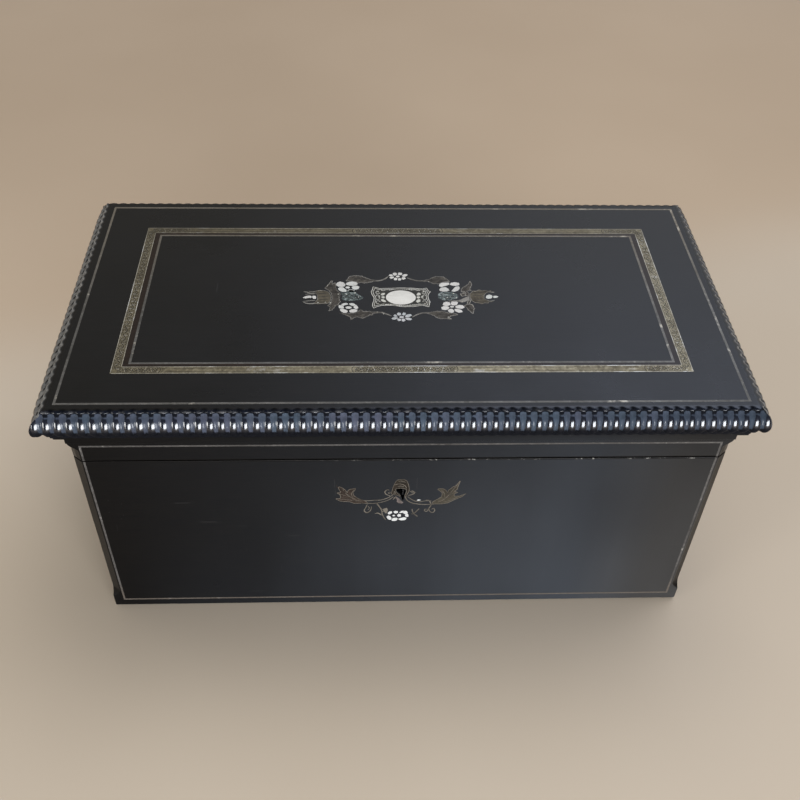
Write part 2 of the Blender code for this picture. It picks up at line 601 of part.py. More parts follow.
for k, s in enumerate((-1, 1)):
    lx = ORN_X + s * LOOP_X
    slot = box(f"loop_slot_{k}", (lx - 1.3, YC - 2.6, PLATE_Z - 3), (lx + 1.3, YC + 2.6, BODY_TOP + 3), col=cutters)
    cut(case, slot)
    # an arm up from the bar and a nose that will pass through the loop
    join(bolt, box(f"bolt_arm_{k}", (lx - 9.0, YC - 0.9, 140.0), (lx - 6.2, YC + 0.9, 149.4), col=cutters),
         box(f"bolt_nose_{k}", (lx - 7.0, YC - 0.9, 147.0), (lx - 1.4, YC + 0.9, 149.4), col=cutters))
join(bolt, box("bolt_tail", (ORN_X - 7.6, YC - 0.9, 130.0), (ORN_X - 3.6, YC + 0.9, 136.6), col=cutters))


# ---- strike plate --------------------------------------------------------------
strike = box("strike_plate", (ORN_X - 24, LY0 - 0.6, LID_BOTTOM), (ORN_X + 24, LY1, LID_BOTTOM + LEAF), look="brass")
for k, s in enumerate((-1, 1)):
    lx = ORN_X + s * LOOP_X
    join(strike, box(f"loop_{k}", (lx - 0.8, YC - 2.1, 144.9), (lx + 0.8, YC + 2.1, LID_BOTTOM + 0.7), col=cutters))
    cut(strike, box(f"loop_window_{k}", (lx - 2, YC - 1.25, 146.5), (lx + 2, YC + 1.25, 149.9), col=cutters))
cut(rails["front"], box("strike_mortise", (ORN_X - 24.3, LY0 - 0.6 - GAP, LID_BOTTOM - 2),
                        (ORN_X + 24.3, -IN_Y + 2, LID_BOTTOM + LEAF + GAP), col=cutters))


# ---- screws ----------------------------------------------------------------------
def screw(name, x, y, z, up, into, plates, head=2.5, shank=1.1, length=9.0, look="brass"):
    """A slotted countersunk screw whose head is flush at z; up is the way it faces."""
    pts = [(0, 0), (head, 0), (head, -0.25), (shank, -head + shank - 0.25), (shank, -length + 1.6), (0, -length)]
    me = bpy.data.meshes.new(name)
    me.from_pydata([(r * MM, 0, h * MM) for r, h in pts], [(k, k + 1) for k in range(len(pts) - 1)], [])
    ob = bpy.data.objects.new(name, me)
    casket.objects.link(ob)
    ob.location = Vector((x, y, z)) * MM
    if up < 0:
        ob.rotation_euler = (math.pi, 0, 0)
    turn = ob.modifiers.new("turned", "SCREW")
    turn.steps = turn.render_steps = 12
    turn.merge_threshold = 1e-5
    turn.use_merge_vertices = True
    turn.use_smooth_shade = False
    finish(ob, look)
    cut(ob, box(name + "_slot", (x - 3, y - 0.3, z - 0.45), (x + 3, y + 0.3, z + 0.45), col=cutters))
    hole = rod(name + "_hole", (x, y, z - up * (length / 2)), "Z", shank + GAP, length + GAP * 2, col=cutters, sides=12)
    for p in plates:
        sink = rod(name + "_sink", (x, y, z - up * (head - shank) / 2), "Z",
                   (head if up < 0 else shank) + GAP, head - shank + 2e-3, col=cutters, sides=12,
                   r2=(shank if up < 0 else head) + GAP)
        cut(p, rod(name + "_through", (x, y, z), "Z", shank + GAP, 12, col=cutters, sides=12), sink,
            rod(name + "_mouth", (x, y, z + up * 0.3), "Z", head + GAP, 1.0, col=cutters, sides=12))
    cut(into, hole)
    return ob


for s, side in ((-1, "left"), (1, "right")):
    screw("lock_screw_" + side, ORN_X + s * 31.3, YC - 0.3, BODY_TOP, 1, front_wall, [case], head=2.0, shank=1.0)
    screw("strike_screw_" + side, ORN_X + s * 20.3, YC - 0.3, LID_BOTTOM, -1, rails["front"], [strike], head=2.0,
          shank=1.0)

# ---- hinges --------------------------------------------------------------------
for s, side in ((-1, "left"), (1, "right")):
    hx = s * HINGE_X
    h = HINGE_LEN / 2
    for up, half_name, board in ((-1, "lower", back_wall), (1, "upper", rails["back"])):
        face = BODY_TOP if up < 0 else LID_BOTTOM
        z = sorted((face, face + up * LEAF))
        leaf = box(f"hinge_{side}_{half_name}_leaf", (hx - h, IN_Y + 1.6, z[0]), (hx + h, PIVOT_Y - 2.7, z[1]), look="brass")
        spans = ((-h, -15.2), (-4.9, 4.9), (15.2, h)) if up < 0 else ((-14.9, -5.2), (5.2, 14.9))
        for k, (a, b) in enumerate(spans):
            join(leaf, box(f"tab_{side}_{up}_{k}", (hx + a, PIVOT_Y - 3.2, z[0]), (hx + b, PIVOT_Y, z[1]), col=cutters),
                 rod(f"knuckle_{side}_{up}_{k}", (hx + (a + b) / 2, PIVOT_Y, PIVOT_Z), "X", BARREL_R, b - a, col=cutters))
        cut(leaf, rod(f"bore_{side}_{up}", (hx, PIVOT_Y, PIVOT_Z), "X", BORE_R, HINGE_LEN + 10, col=cutters))
        zz = sorted((face - up * 3, face + up * (LEAF + GAP)))
        cut(board, box(f"leaf_mortise_{side}_{up}", (hx - h - GAP, IN_Y + 1.6 - GAP, zz[0]), (hx + h + GAP, HALF_Y + 3, zz[1]),
                       col=cutters))
        zz = sorted((PIVOT_Z, PIVOT_Z + up * 2.9))
        cut(board, box(f"barrel_notch_{side}_{up}", (hx - h - GAP, PIVOT_Y - 3.0, zz[0]), (hx + h + GAP, HALF_Y + 3, zz[1]),
                       col=cutters))
        for k, d in enumerate((-17.0, 17.0)):
            screw(f"hinge_screw_{side}_{half_name}_{k + 1}", hx + d, IN_Y + 6.2, face, -up, board, [leaf], length=8.5)
    rod(f"hinge_pin_{side}", (hx, PIVOT_Y, PIVOT_Z), "X", PIN_R, HINGE_LEN + 0.6, look="steel")

# ---- linings -------------------------------------------------------------------
LINE_T = 2.0
LINE_TOP = 149.5
lining = box("front_lining", (-IN_X + GAP, -IN_Y + GAP, BASE_THICK + GAP), (IN_X - GAP, -IN_Y + GAP + LINE_T, LINE_TOP),
             look="silk")
cut(lining, box("lining_notch", (ORN_X - 29, -IN_Y - 1, CASE_Z0 - 1), (ORN_X + 29, -IN_Y + 5, LINE_TOP + 5), col=cutters))
box("back_lining", (-IN_X + GAP, IN_Y - GAP - LINE_T, BASE_THICK + GAP), (IN_X - GAP, IN_Y - GAP, LINE_TOP), look="silk")
for s, side in ((-1, "left"), (1, "right")):
    x = sorted((s * (IN_X - GAP), s * (IN_X - GAP - LINE_T)))
    box(side + "_lining", (x[0], -IN_Y + LINE_T + 2 * GAP, BASE_THICK + GAP), (x[1], IN_Y - LINE_T - 2 * GAP, LINE_TOP),
        look="silk")
PAD = LINE_T + 2 * GAP
box("bottom_pad", (-IN_X + PAD, -IN_Y + PAD, BASE_THICK + GAP), (IN_X - PAD, IN_Y - PAD, 24.0), look="silk")
box("lid_pad", (-IN_X + 0.6, -IN_Y + 0.6, 171.0), (IN_X - 0.6, IN_Y - 0.6, PANEL_BOTTOM - GAP), look="silk")
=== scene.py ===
"""Looks of the ebonised antique casket: its carcase, mouldings, inlays, linings and hardware.
Lengths are in millimetres until a mesh is made; X is the length, the front faces -Y, Z is up."""
import math

import bmesh
import bpy
import numpy as np
from mathutils import Matrix, Vector
from mathutils.geometry import tessellate_polygon


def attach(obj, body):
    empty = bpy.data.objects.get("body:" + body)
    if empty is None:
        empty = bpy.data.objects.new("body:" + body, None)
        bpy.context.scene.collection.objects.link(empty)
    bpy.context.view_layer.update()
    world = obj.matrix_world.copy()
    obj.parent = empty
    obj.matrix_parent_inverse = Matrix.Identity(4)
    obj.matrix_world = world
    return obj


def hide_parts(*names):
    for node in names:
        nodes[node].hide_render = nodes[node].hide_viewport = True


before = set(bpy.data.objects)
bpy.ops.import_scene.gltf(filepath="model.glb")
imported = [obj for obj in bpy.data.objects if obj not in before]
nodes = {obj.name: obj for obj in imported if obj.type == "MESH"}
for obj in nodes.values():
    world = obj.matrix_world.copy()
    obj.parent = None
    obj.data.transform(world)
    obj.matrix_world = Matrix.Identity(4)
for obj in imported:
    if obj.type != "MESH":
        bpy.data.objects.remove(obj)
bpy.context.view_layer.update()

scene = bpy.context.scene
MM = 0.001

# ---- the casket's dimensions, as in the CAD ---------------------------------
HALF_X, HALF_Y, WALL = 204.0, 101.6, 12.0
IN_X, IN_Y = HALF_X - WALL, HALF_Y - WALL
BODY_TOP, LID_BOTTOM, RAIL_TOP, LID_TOP = 153.9, 154.7, 170.0, 204.0
PANEL_OUT, PANEL_BOTTOM, COVE_OUT = 4.0, 191.7, 5.0
CANT_X, CANT_Y = 6.0, 5.0
STRING, INLAY, GAP = 1.3, 0.9, 0.3
OUTER_LINE, BAND, INNER_LINE, BAND_WIDTH = (204.6, 102.7), (176.6, 76.4), (166.9, 67.8), 6.2
FRONT_LINE_X, FRONT_LINE_BOTTOM, RAIL_LINE_TOP = 197.2, 7.4, 168.2
ORN_X, KEY_Z, KEY_R = -1.3, 122.8, 3.1
PITCH = 6.7
PROUD = 0.04                    # how far an inlay's face stands out of the wood


# ---- camera -----------------------------------------------------------------
def turn(rx, ry, rz):
    return (Matrix.Rotation(math.radians(rz), 3, "Z") @ Matrix.Rotation(math.radians(ry), 3, "Y")
            @ Matrix.Rotation(math.radians(rx), 3, "X"))


cam = bpy.data.objects.new("camera", bpy.data.cameras.new("camera"))
scene.collection.objects.link(cam)
cam.data.sensor_width = 36.0
cam.data.lens = 975.463 / 800 * 36
cam.data.shift_y = 0.0005
cam.matrix_world = (Matrix.Translation(Vector((-27.444, -510.383, 601.841)) * MM)
                    @ turn(-45.86036, 2.35435, 0.27270).transposed().to_4x4())
scene.camera = cam


# ---- node helpers -----------------------------------------------------------
class Mat:
    """A material and short ways to add nodes to it."""

    def __init__(self, name):
        self.m = bpy.data.materials.new(name)
        self.m.use_nodes = True
        self.t = self.m.node_tree
        self.b = self.t.nodes["Principled BSDF"]
        self.co = self.add("ShaderNodeTexCoord").outputs["Object"]

    def add(self, kind, **props):
        n = self.t.nodes.new(kind)
        for k, v in props.items():
            setattr(n, k, v)
        return n

    def link(self, a, b):
        if isinstance(a, (int, float)):
            b.default_value = a
        elif isinstance(a, tuple):
            b.default_value = a if len(a) != 3 or b.type == "VECTOR" else (*a, 1.0)
        else:
            self.t.links.new(a, b)
        return b

    def move(self, scale=(1, 1, 1), rot=(0, 0, 0), at=(0, 0, 0), co=None):
        n = self.add("ShaderNodeMapping")
        self.link(co or self.co, n.inputs["Vector"])
        n.inputs["Scale"].default_value = scale
        n.inputs["Rotation"].default_value = rot
        n.inputs["Location"].default_value = at
        return n.outputs[0]

    def noise(self, scale, detail=3.0, rough=0.55, co=None, distort=0.0):
        n = self.add("ShaderNodeTexNoise")
        self.link(co or self.co, n.inputs["Vector"])
        n.inputs["Scale"].default_value = scale
        n.inputs["Detail"].default_value = detail
        n.inputs["Roughness"].default_value = rough
        n.inputs["Distortion"].default_value = distort
        return n.outputs["Fac"]

    def voronoi(self, scale, feature="F1", co=None, out="Distance"):
        n = self.add("ShaderNodeTexVoronoi", feature=feature)
        self.link(co or self.co, n.inputs["Vector"])
        n.inputs["Scale"].default_value = scale
        return n.outputs[out]

    def fit(self, x, a, b, c=0.0, d=1.0, smooth=False):
        n = self.add("ShaderNodeMapRange", clamp=True, interpolation_type="SMOOTHSTEP" if smooth else "LINEAR")
        self.link(x, n.inputs[0])
        for k, v in zip((1, 2, 3, 4), (a, b, c, d)):
            n.inputs[k].default_value = v
        return n.outputs[0]

    def math(self, op, a, b=0.0):
        n = self.add("ShaderNodeMath", operation=op)
        self.link(a, n.inputs[0])
        self.link(b, n.inputs[1])
        return n.outputs[0]

    def mix(self, f, a, b):
        if isinstance(b, float):
            b = (b, b, b)
        n = self.add("ShaderNodeMix", data_type="RGBA")
        self.link(f, n.inputs[0])
        self.link(a, n.inputs[6])
        self.link(b, n.inputs[7])
        return n.outputs[2]

    def attr(self, name):
        return self.add("ShaderNodeAttribute", attribute_name=name).outputs["Fac"]

    def axis(self, k):
        n = self.add("ShaderNodeSeparateXYZ")
        self.link(self.co, n.inputs[0])
        return n.outputs[k]

    def bump(self, h, strength, distance, normal=None):
        n = self.add("ShaderNodeBump")
        self.link(h, n.inputs["Height"])
        n.inputs["Strength"].default_value = strength
        n.inputs["Distance"].default_value = distance
        if normal is not None:
            self.t.links.new(normal, n.inputs["Normal"])
        return n.outputs[0]

    def done(self, color=None, rough=None, normal=None, metal=None, **fixed):
        for name, v in (("Base Color", color), ("Roughness", rough), ("Normal", normal), ("Metallic", metal)):
            if v is not None:
                self.link(v, self.b.inputs[name])
        for k, v in fixed.items():
            self.b.inputs[k.replace("_", " ")].default_value = v
        return self.m


# ---- materials --------------------------------------------------------------
def ebony(name, along=(1, 0, 0), black_=(0.0050, 0.0050, 0.0052), brown=(0.0098, 0.0084, 0.0074), level=0.5, bloom_and_sheen=None,
          rough=(0.24, 0.36), worn=0.45):
    """French-polished black wood: fine grain, faint brown in the black, haze, scratches and rubbed arrises."""
    m = Mat(name)
    s = tuple(6.0 if a else 90.0 for a in along)
    grain = m.noise(9.0, 5, 0.62, m.move(s))
    pores = m.noise(34.0, 3, 0.7, m.move(s))
    haze = m.noise(11.0, 4, 0.6)
    cloud = m.noise(4.2, 2, 0.5, m.move((1, 1.4, 1.2), at=(3.1, 0.4, 7.0)))
    black = m.mix(m.fit(grain, 0.35, 0.72), black_, brown)
    black = m.mix(m.math("MULTIPLY", m.fit(cloud, 0.42, 0.70), 0.45), black, tuple(1.9 * v for v in black_))
    if bloom_and_sheen:
        # a bluish bloom has come up in the old polish, in soft streaks down the board; it is painted stronger towards
        # the right and the bottom, where it is a painted sheen of the room's light
        colour, lo, hi = bloom_and_sheen
        soft = m.noise(3.1, 3, 0.5, m.move((1.0, 1.0, 0.7), at=(0.6, 0.0, 1.3)))
        streak = m.noise(17.0, 4, 0.6, m.move((1.0, 1.0, 0.10), at=(2.0, 0.0, 0.0)))
        b = m.math("MULTIPLY", m.fit(m.axis(0), lo, hi, 0.0, 1.0), m.fit(soft, 0.36, 0.64, 0.45, 1.0, smooth=True))
        b = m.math("MULTIPLY", b, m.fit(streak, 0.30, 0.70, 0.80, 1.0))
        b = m.math("MULTIPLY", b, m.fit(m.axis(2), 0.0, 0.168, 1.0, 0.54))
        b = m.math("MULTIPLY", b, m.fit(m.axis(2), 0.1540, 0.1546, 1.0, 0.86))
        b = m.math("MULTIPLY", b, m.fit(m.axis(2), 0.168, 0.176, 1.0, 0.52))
        b = m.math("MULTIPLY", b, m.fit(m.math("ABSOLUTE", m.math("SUBTRACT", m.axis(2), 0.1543)), 0.0009, 0.0016, 0.0, 1.0))
        b = m.math("MULTIPLY", b, m.fit(m.axis(1), -0.1012, -0.1005, 1.0, 0.0))      # none inside the keyhole
        black = m.mix(b, black, m.mix(m.fit(m.axis(0), 0.12, 0.175), colour, (0.0515, 0.0500, 0.0485)))
        # painted glints: small pale marks along the body's top arris, towards the right
        arris_glint = m.fit(m.math("ABSOLUTE", m.math("SUBTRACT", m.axis(2), 0.1535)), 0.0003, 0.0006, 1.0, 0.0)
        arris_glint = m.math("MULTIPLY", arris_glint, m.fit(m.axis(0), -0.06, 0.03))
        arris_glint = m.math("MULTIPLY", arris_glint, m.fit(m.axis(1), -0.1014, -0.1009, 1.0, 0.0))       # not over the flat rim
        arris_glint = m.math("MULTIPLY", arris_glint, m.fit(m.noise(210.0, 4, 0.7), 0.56, 0.63))
        black = m.mix(m.math("MULTIPLY", arris_glint, 0.8), black, (0.22, 0.21, 0.19))
    # fine scratches, in two directions, and grains of dust
    scratch = m.fit(m.noise(60.0, 2, 0.5, m.move((0.35, 9.0, 9.0), rot=(0, 0, 0.35))), 0.735, 0.76)
    scratch2 = m.fit(m.noise(52.0, 2, 0.5, m.move((9.0, 0.4, 0.4), rot=(0, 0, -0.2))), 0.745, 0.77)
    scratches = m.math("MAXIMUM", scratch, scratch2)
    black = m.mix(m.math("MULTIPLY", scratches, 0.30), black, (0.040, 0.038, 0.037))
    dust = m.fit(m.voronoi(240.0), 0.055, 0.030)
    dust = m.math("MULTIPLY", dust, m.fit(m.noise(23.0, 2), 0.56, 0.66))
    black = m.mix(m.math("MULTIPLY", dust, 0.45), black, (0.14, 0.135, 0.13))
    wear = m.attr("wear")
    black = m.mix(m.math("MULTIPLY", m.math("MULTIPLY", wear, wear), worn), black, (0.030, 0.023, 0.016))
    rub = m.math("MULTIPLY", m.fit(wear, 0.40, 0.95), m.fit(m.noise(190.0, 4, 0.75), 0.60, 0.68))
    color = m.mix(m.math("MULTIPLY", rub, worn), black, (0.15, 0.128, 0.105))
    r = m.math("ADD", m.fit(haze, 0.3, 0.72, rough[0], rough[1]), m.math("MULTIPLY", scratches, 0.12))
    h = m.math("ADD", m.math("MULTIPLY", pores, 0.6), m.math("MULTIPLY", m.noise(5.0, 2), 1.8))
    m.b.inputs["Specular IOR Level"].default_value = level
    return m.done(color, r, m.bump(h, 0.10, 0.0006), IOR=1.5)


def ripple_black(name):
    """The mouldings' polish: deep gloss on the crests, duller with dust and wax left in the hollows. The crests' navy
    and the hollows' pale bluish tone are partly painted reflection; the underside and the quirk carry painted shade;
    the ridge lip carries painted glints.
    """
    m = Mat(name)
    low, flat, wear, under = m.attr("hollow"), m.attr("flat"), m.attr("wear"), m.attr("under")
    n = m.noise(60.0, 3)
    fine = m.noise(520.0, 3, 0.7)
    dust_and_sheen = m.math("MULTIPLY", m.fit(m.math("ADD", low, m.fit(fine, 0.3, 0.7, -0.24, 0.20)), 0.25, 0.72), m.fit(m.noise(150.0, 3, 0.65), 0.30, 0.62, 0.60, 1.0))
    # the crests' navy tone is a painted reflection of the bluish room light; under the lobes and in the quirk it is
    # darkened as painted shade
    navy = m.mix(m.fit(m.noise(26.0, 3), 0.35, 0.7), (0.0010, 0.0023, 0.0066), (0.0022, 0.0041, 0.0102))
    navy = m.mix(under, navy, (0.0016, 0.0022, 0.0042))
    # the hollows' pale bluish tone: dust, and a painted reflection of the window light
    dust = m.mix(m.fit(m.noise(38.0, 3, 0.6, m.move(at=(3, 1, 2))), 0.40, 0.66), (0.050, 0.066, 0.088), (0.065, 0.070, 0.097))
    thin = m.math("MAXIMUM", m.fit(m.axis(0), 0.04, 0.20, 0.0, 0.60), m.fit(m.axis(0), -0.20, -0.06, 0.40, 0.0))
    dust = m.mix(thin, dust, (0.024, 0.032, 0.045))        # less dust, and less painted reflection, towards the corners
    # the ends have more of a warm grey dust, partly a painted reflection of the pale floor
    dust = m.mix(m.attr("end"), dust, m.mix(m.fit(m.noise(70.0, 3, 0.6), 0.36, 0.62), (0.122, 0.122, 0.120), (0.200, 0.192, 0.178)))
    color = m.mix(dust_and_sheen, navy, dust)
    top = m.mix(m.fit(m.noise(9.0, 5, 0.62, m.move((6, 90, 90))), 0.35, 0.72), (0.0036, 0.0035, 0.0034), (0.0072, 0.0064, 0.0056))
    color = m.mix(flat, color, top)
    # pale marks on the ridge lip, strongest on the crests: wear, and painted glints of the window
    color = m.mix(m.math("MULTIPLY", wear, m.fit(m.noise(110.0, 4, 0.7), 0.50, 0.62, 0.0, 0.50)), color, (0.18, 0.176, 0.172))
    chips = m.fit(m.noise(120.0, 4, 0.7), 0.735, 0.76)
    color = m.mix(m.math("MULTIPLY", chips, 0.5), color, (0.10, 0.08, 0.06))
    gloss = m.math("ADD", m.fit(n, 0.2, 0.8, 0.16, 0.22), m.math("MULTIPLY", dust_and_sheen, 0.26))
    gloss = m.mix(under, gloss, 0.72)
    clean = m.math("MULTIPLY", m.math("SUBTRACT", 1.0, dust_and_sheen), m.math("SUBTRACT", 1.0, under))
    clean = m.math("MULTIPLY", clean, m.fit(flat, 0.0, 1.0, 1.0, 0.65))
    m.link(clean, m.b.inputs["Coat Weight"])
    m.b.inputs["Coat Roughness"].default_value = 0.17
    m.b.inputs["Coat IOR"].default_value = 1.7
    m.b.inputs["Specular IOR Level"].default_value = 0.06
    rough = m.mix(flat, gloss, m.fit(m.noise(11.0, 4, 0.6), 0.3, 0.72, 0.24, 0.36))
    return m.done(color, rough, m.bump(m.noise(160.0, 3), 0.20, 0.0003), IOR=1.52)


def old_brass(name, light, dark, rough=0.36, worn=0.55, wear_scale=26.0, metal=0.85, bright=(0.62, 0.57, 0.47), share=0.85,
              mottle=(0.50, 0.72, 0.35), level=0.5, drift=None, back=0.0, warm=None):
    """Tarnished brass, rubbed bright in patches."""
    m = Mat(name)
    m.b.inputs["Specular IOR Level"].default_value = level
    patch = m.noise(wear_scale, 5, 0.65)
    fine = m.noise(260.0, 3, 0.6)
    coarse = m.noise(420.0, 2, 0.6, m.move(at=(0.7, 0.2, 0.1)))
    c = m.mix(m.fit(patch, 0.36, 0.66), dark, light)
    if drift:
        # one end of the work has kept more of its colour
        c = m.mix(m.fit(m.axis(0), -0.005, 0.012), c, m.mix(m.fit(patch, 0.36, 0.66), drift[0], drift[1]))
    c = m.mix(m.math("MULTIPLY", m.fit(fine, mottle[0], mottle[1]), mottle[2]), c, tuple(0.45 * v for v in dark))
    c = m.mix(m.math("MULTIPLY", m.fit(coarse, 0.52, 0.66), 0.35), c, tuple(1.5 * v for v in light))
    rubbed = m.math("MULTIPLY", m.fit(m.noise(wear_scale * 1.9, 4, 0.7, m.move(at=(2.3, 1.1, 0.4))), worn, worn + 0.07), share)
    c = m.mix(rubbed, c, bright)
    if warm:
        # the old lacquer has yellowed unevenly
        axis, lo, hi, share_, tint = warm
        c = m.mix(m.fit(m.axis(axis), lo, hi, 0.0, share_), c, tint)
    if back:
        # the run along the back has tarnished further
        c = m.mix(m.fit(m.axis(1), 0.058, 0.070, 0.0, back), c, tuple(0.5 * v for v in dark))
    r = m.math("ADD", m.fit(fine, 0.3, 0.8, rough - 0.06, rough + 0.10), m.math("MULTIPLY", rubbed, -0.08))
    return m.done(c, r, m.bump(m.math("ADD", fine, m.noise(90.0, 3)), 0.16, 0.0002), Metallic=metal)


def mastic_mat(name, dark=(0.010, 0.0085, 0.0065), light=(0.030, 0.025, 0.017)):
    """Black filling rubbed into the engraving, greyed with old wax."""
    m = Mat(name)
    n = m.noise(300.0, 3, 0.7)
    c = m.mix(m.fit(n, 0.4, 0.68), dark, light)
    return m.done(c, m.fit(n, 0.3, 0.7, 0.40, 0.60), m.bump(n, 0.2, 0.0002))


def pearl_mat(name, base=(0.62, 0.605, 0.565), tint=0.22, scale=60.0, grey=0.42):
    m = Mat(name)
    n = m.noise(scale, 3, 0.6, m.move((1, 2.2, 1)))
    c = m.mix(m.fit(n, 0.35, 0.7), tuple(0.86 * v for v in base), tuple(min(1.0, 1.10 * v) for v in base))
    c = m.mix(m.math("MULTIPLY", m.fit(m.noise(scale * 0.7, 2, co=m.move(at=(4, 2, 1))), 0.5, 0.68), tint), c, (0.58, 0.68, 0.64))
    c = m.mix(m.math("MULTIPLY", m.fit(m.noise(scale * 0.8, 2, co=m.move(at=(1, 7, 3))), 0.52, 0.7), tint), c, (0.70, 0.60, 0.60))
    line = m.fit(m.noise(230.0, 3, 0.7), 0.60, 0.70)
    c = m.mix(m.math("MULTIPLY", line, grey), c, (0.30, 0.29, 0.26))
    m.b.inputs["Coat Weight"].default_value = 0.4
    m.b.inputs["Coat Roughness"].default_value = 0.12
    return m.done(c, m.fit(n, 0.3, 0.7, 0.22, 0.36), m.bump(n, 0.1, 0.0003))


def shell_mat(name):
    m = Mat(name)
    n = m.noise(110.0, 4, 0.7, m.move((1.0, 1.8, 1)), distort=1.2)
    c = m.mix(m.fit(n, 0.38, 0.58), (0.015, 0.022, 0.020), (0.054, 0.074, 0.068))
    swirl = m.noise(230.0, 4, 0.7, m.move((1.0, 1.6, 1)), distort=2.2)
    c = m.mix(m.fit(swirl, 0.54, 0.62), c, (0.32, 0.37, 0.35))
    c = m.mix(m.fit(m.noise(330.0, 2, 0.6), 0.60, 0.68), c, (0.010, 0.013, 0.012))
    return m.done(c, m.fit(n, 0.3, 0.7, 0.16, 0.34), m.bump(n, 0.15, 0.0003), Coat_Weight=0.3)


def silk_mat(name, base=(0.235, 0.010, 0.022), deep=(0.095, 0.004, 0.010), weave=900.0, along=(1, 0)):
    """Satin-woven silk, a little faded in patches, with a slubbed weft."""
    m = Mat(name)
    w = m.add("ShaderNodeTexWave", wave_type="BANDS", bands_direction="Y" if along[0] else "X")
    m.link(m.co, w.inputs["Vector"])
    w.inputs["Scale"].default_value = weave / 3
    w.inputs["Distortion"].default_value = 0.6
    w.inputs["Detail"].default_value = 1.0
    slub = m.noise(60.0, 4, 0.65, m.move((0.25, 4.0, 4.0) if along[0] else (4.0, 0.25, 4.0)))
    fade = m.noise(13.0, 4, 0.6)
    c = m.mix(m.fit(slub, 0.3, 0.7), deep, base)
    c = m.mix(m.math("MULTIPLY", m.fit(fade, 0.45, 0.75), 0.35), c, (0.34, 0.045, 0.050))
    h = m.math("ADD", m.math("MULTIPLY", w.outputs["Fac"], 0.35), slub)
    return m.done(c, m.fit(slub, 0.3, 0.7, 0.34, 0.50), m.bump(h, 0.22, 0.0004), Sheen_Weight=0.35,
                  Sheen_Roughness=0.35, Anisotropic=0.3)


def steel_mat(name, base=(0.20, 0.20, 0.205)):
    m = Mat(name)
    brushed = m.noise(30.0, 4, 0.7, m.move((2.0, 60.0, 60.0)))
    spots = m.noise(90.0, 4, 0.65)
    c = m.mix(m.fit(brushed, 0.3, 0.7), tuple(0.6 * v for v in base), base)
    c = m.mix(m.math("MULTIPLY", m.fit(spots, 0.56, 0.68), 0.7), c, (0.060, 0.036, 0.022))
    r = m.fit(spots, 0.4, 0.7, 0.28, 0.55)
    return m.done(c, r, m.bump(brushed, 0.12, 0.0003), Metallic=0.9)


def bare_wood(name):
    m = Mat(name)
    grain = m.noise(7.0, 6, 0.66, m.move((3.0, 60.0, 60.0)), distort=0.4)
    c = m.mix(m.fit(grain, 0.3, 0.7), (0.052, 0.033, 0.020), (0.150, 0.100, 0.062))
    c = m.mix(m.fit(m.noise(12.0, 4), 0.5, 0.75), c, (0.030, 0.020, 0.014))
    return m.done(c, m.fit(grain, 0.3, 0.7, 0.55, 0.75), m.bump(grain, 0.3, 0.0006))


LID_BLACK = ebony("ebonised_lid_top", level=0.5, black_=(0.0036, 0.0035, 0.0034), brown=(0.0072, 0.0064, 0.0056))
# the front's ebony is a darker, less glossy copy of the lid's: painted shade for the upright front
FRONT_BLACK = ebony("ebonised_front", level=0.08, black_=(0.0019, 0.0019, 0.0022), brown=(0.0036, 0.0033, 0.0031),
                    bloom_and_sheen=((0.0530, 0.0595, 0.0695), -0.19, 0.20), rough=(0.26, 0.38), worn=0.15)
SIDE_BLACK = ebony("ebonised_side", along=(0, 1, 0), level=0.30, black_=(0.0032, 0.0031, 0.0032), brown=(0.0066, 0.0057, 0.0050))
RIPPLE_BLACK = ripple_black("ebonised_ripple")
STRINGING = old_brass("stringing", (0.195, 0.186, 0.168), (0.105, 0.100, 0.088), rough=0.42, worn=0.61, metal=0.5,
                      warm=(1, -0.02, 0.09, 0.40, (0.27, 0.215, 0.14)))
# the front's stringing is a darker copy of the lid's stringing: painted shade for the upright front
FRONT_STRINGING = old_brass("stringing_front", (0.092, 0.087, 0.082), (0.050, 0.047, 0.044), rough=0.42, worn=0.63, wear_scale=34.0, metal=0.3,
                            bright=(0.30, 0.285, 0.26), share=0.6, level=0.12, warm=(2, 0.030, 0.012, 0.40, (0.165, 0.130, 0.098)))
BAND_METAL = old_brass("band_brass", (0.47, 0.41, 0.270), (0.225, 0.188, 0.118), rough=0.40, worn=0.60, wear_scale=34.0, metal=0.8,
                       mottle=(0.44, 0.66, 0.5), back=0.5)
FOLIAGE = old_brass("foliage_brass", (0.118, 0.104, 0.083), (0.058, 0.050, 0.041), rough=0.45, worn=0.72, wear_scale=60.0, metal=0.5,
                    bright=(0.40, 0.37, 0.31), mottle=(0.46, 0.62, 0.7))
BUD_BRASS = old_brass("bud_brass", (0.150, 0.128, 0.088), (0.088, 0.072, 0.048), rough=0.45, worn=0.74, wear_scale=60.0, metal=0.5,
                      bright=(0.40, 0.37, 0.31), mottle=(0.46, 0.66, 0.5))
RIMS = old_brass("foliage_rims", (0.34, 0.32, 0.28), (0.150, 0.140, 0.120), rough=0.42, worn=0.60, wear_scale=90.0, metal=0.35)
PLAQUE_METAL = old_brass("plaque_metal", (0.050, 0.047, 0.036), (0.020, 0.019, 0.015), rough=0.42, worn=0.68, wear_scale=120.0, metal=0.3,
                         bright=(0.30, 0.29, 0.25))
PLAQUE_LINES = old_brass("plaque_lines", (0.80, 0.78, 0.70), (0.47, 0.455, 0.40), rough=0.40, worn=0.60, wear_scale=120.0, metal=0.25)
BROWN_WOOD = ebony("brown_strip", level=0.42, black_=(0.0115, 0.0072, 0.0050), brown=(0.024, 0.0140, 0.0088))
BAND_EDGES = old_brass("band_edges", (0.60, 0.56, 0.47), (0.30, 0.27, 0.20), rough=0.38, worn=0.545, wear_scale=22.0, metal=0.5,
                       bright=(0.80, 0.79, 0.74), share=0.9, back=0.5)
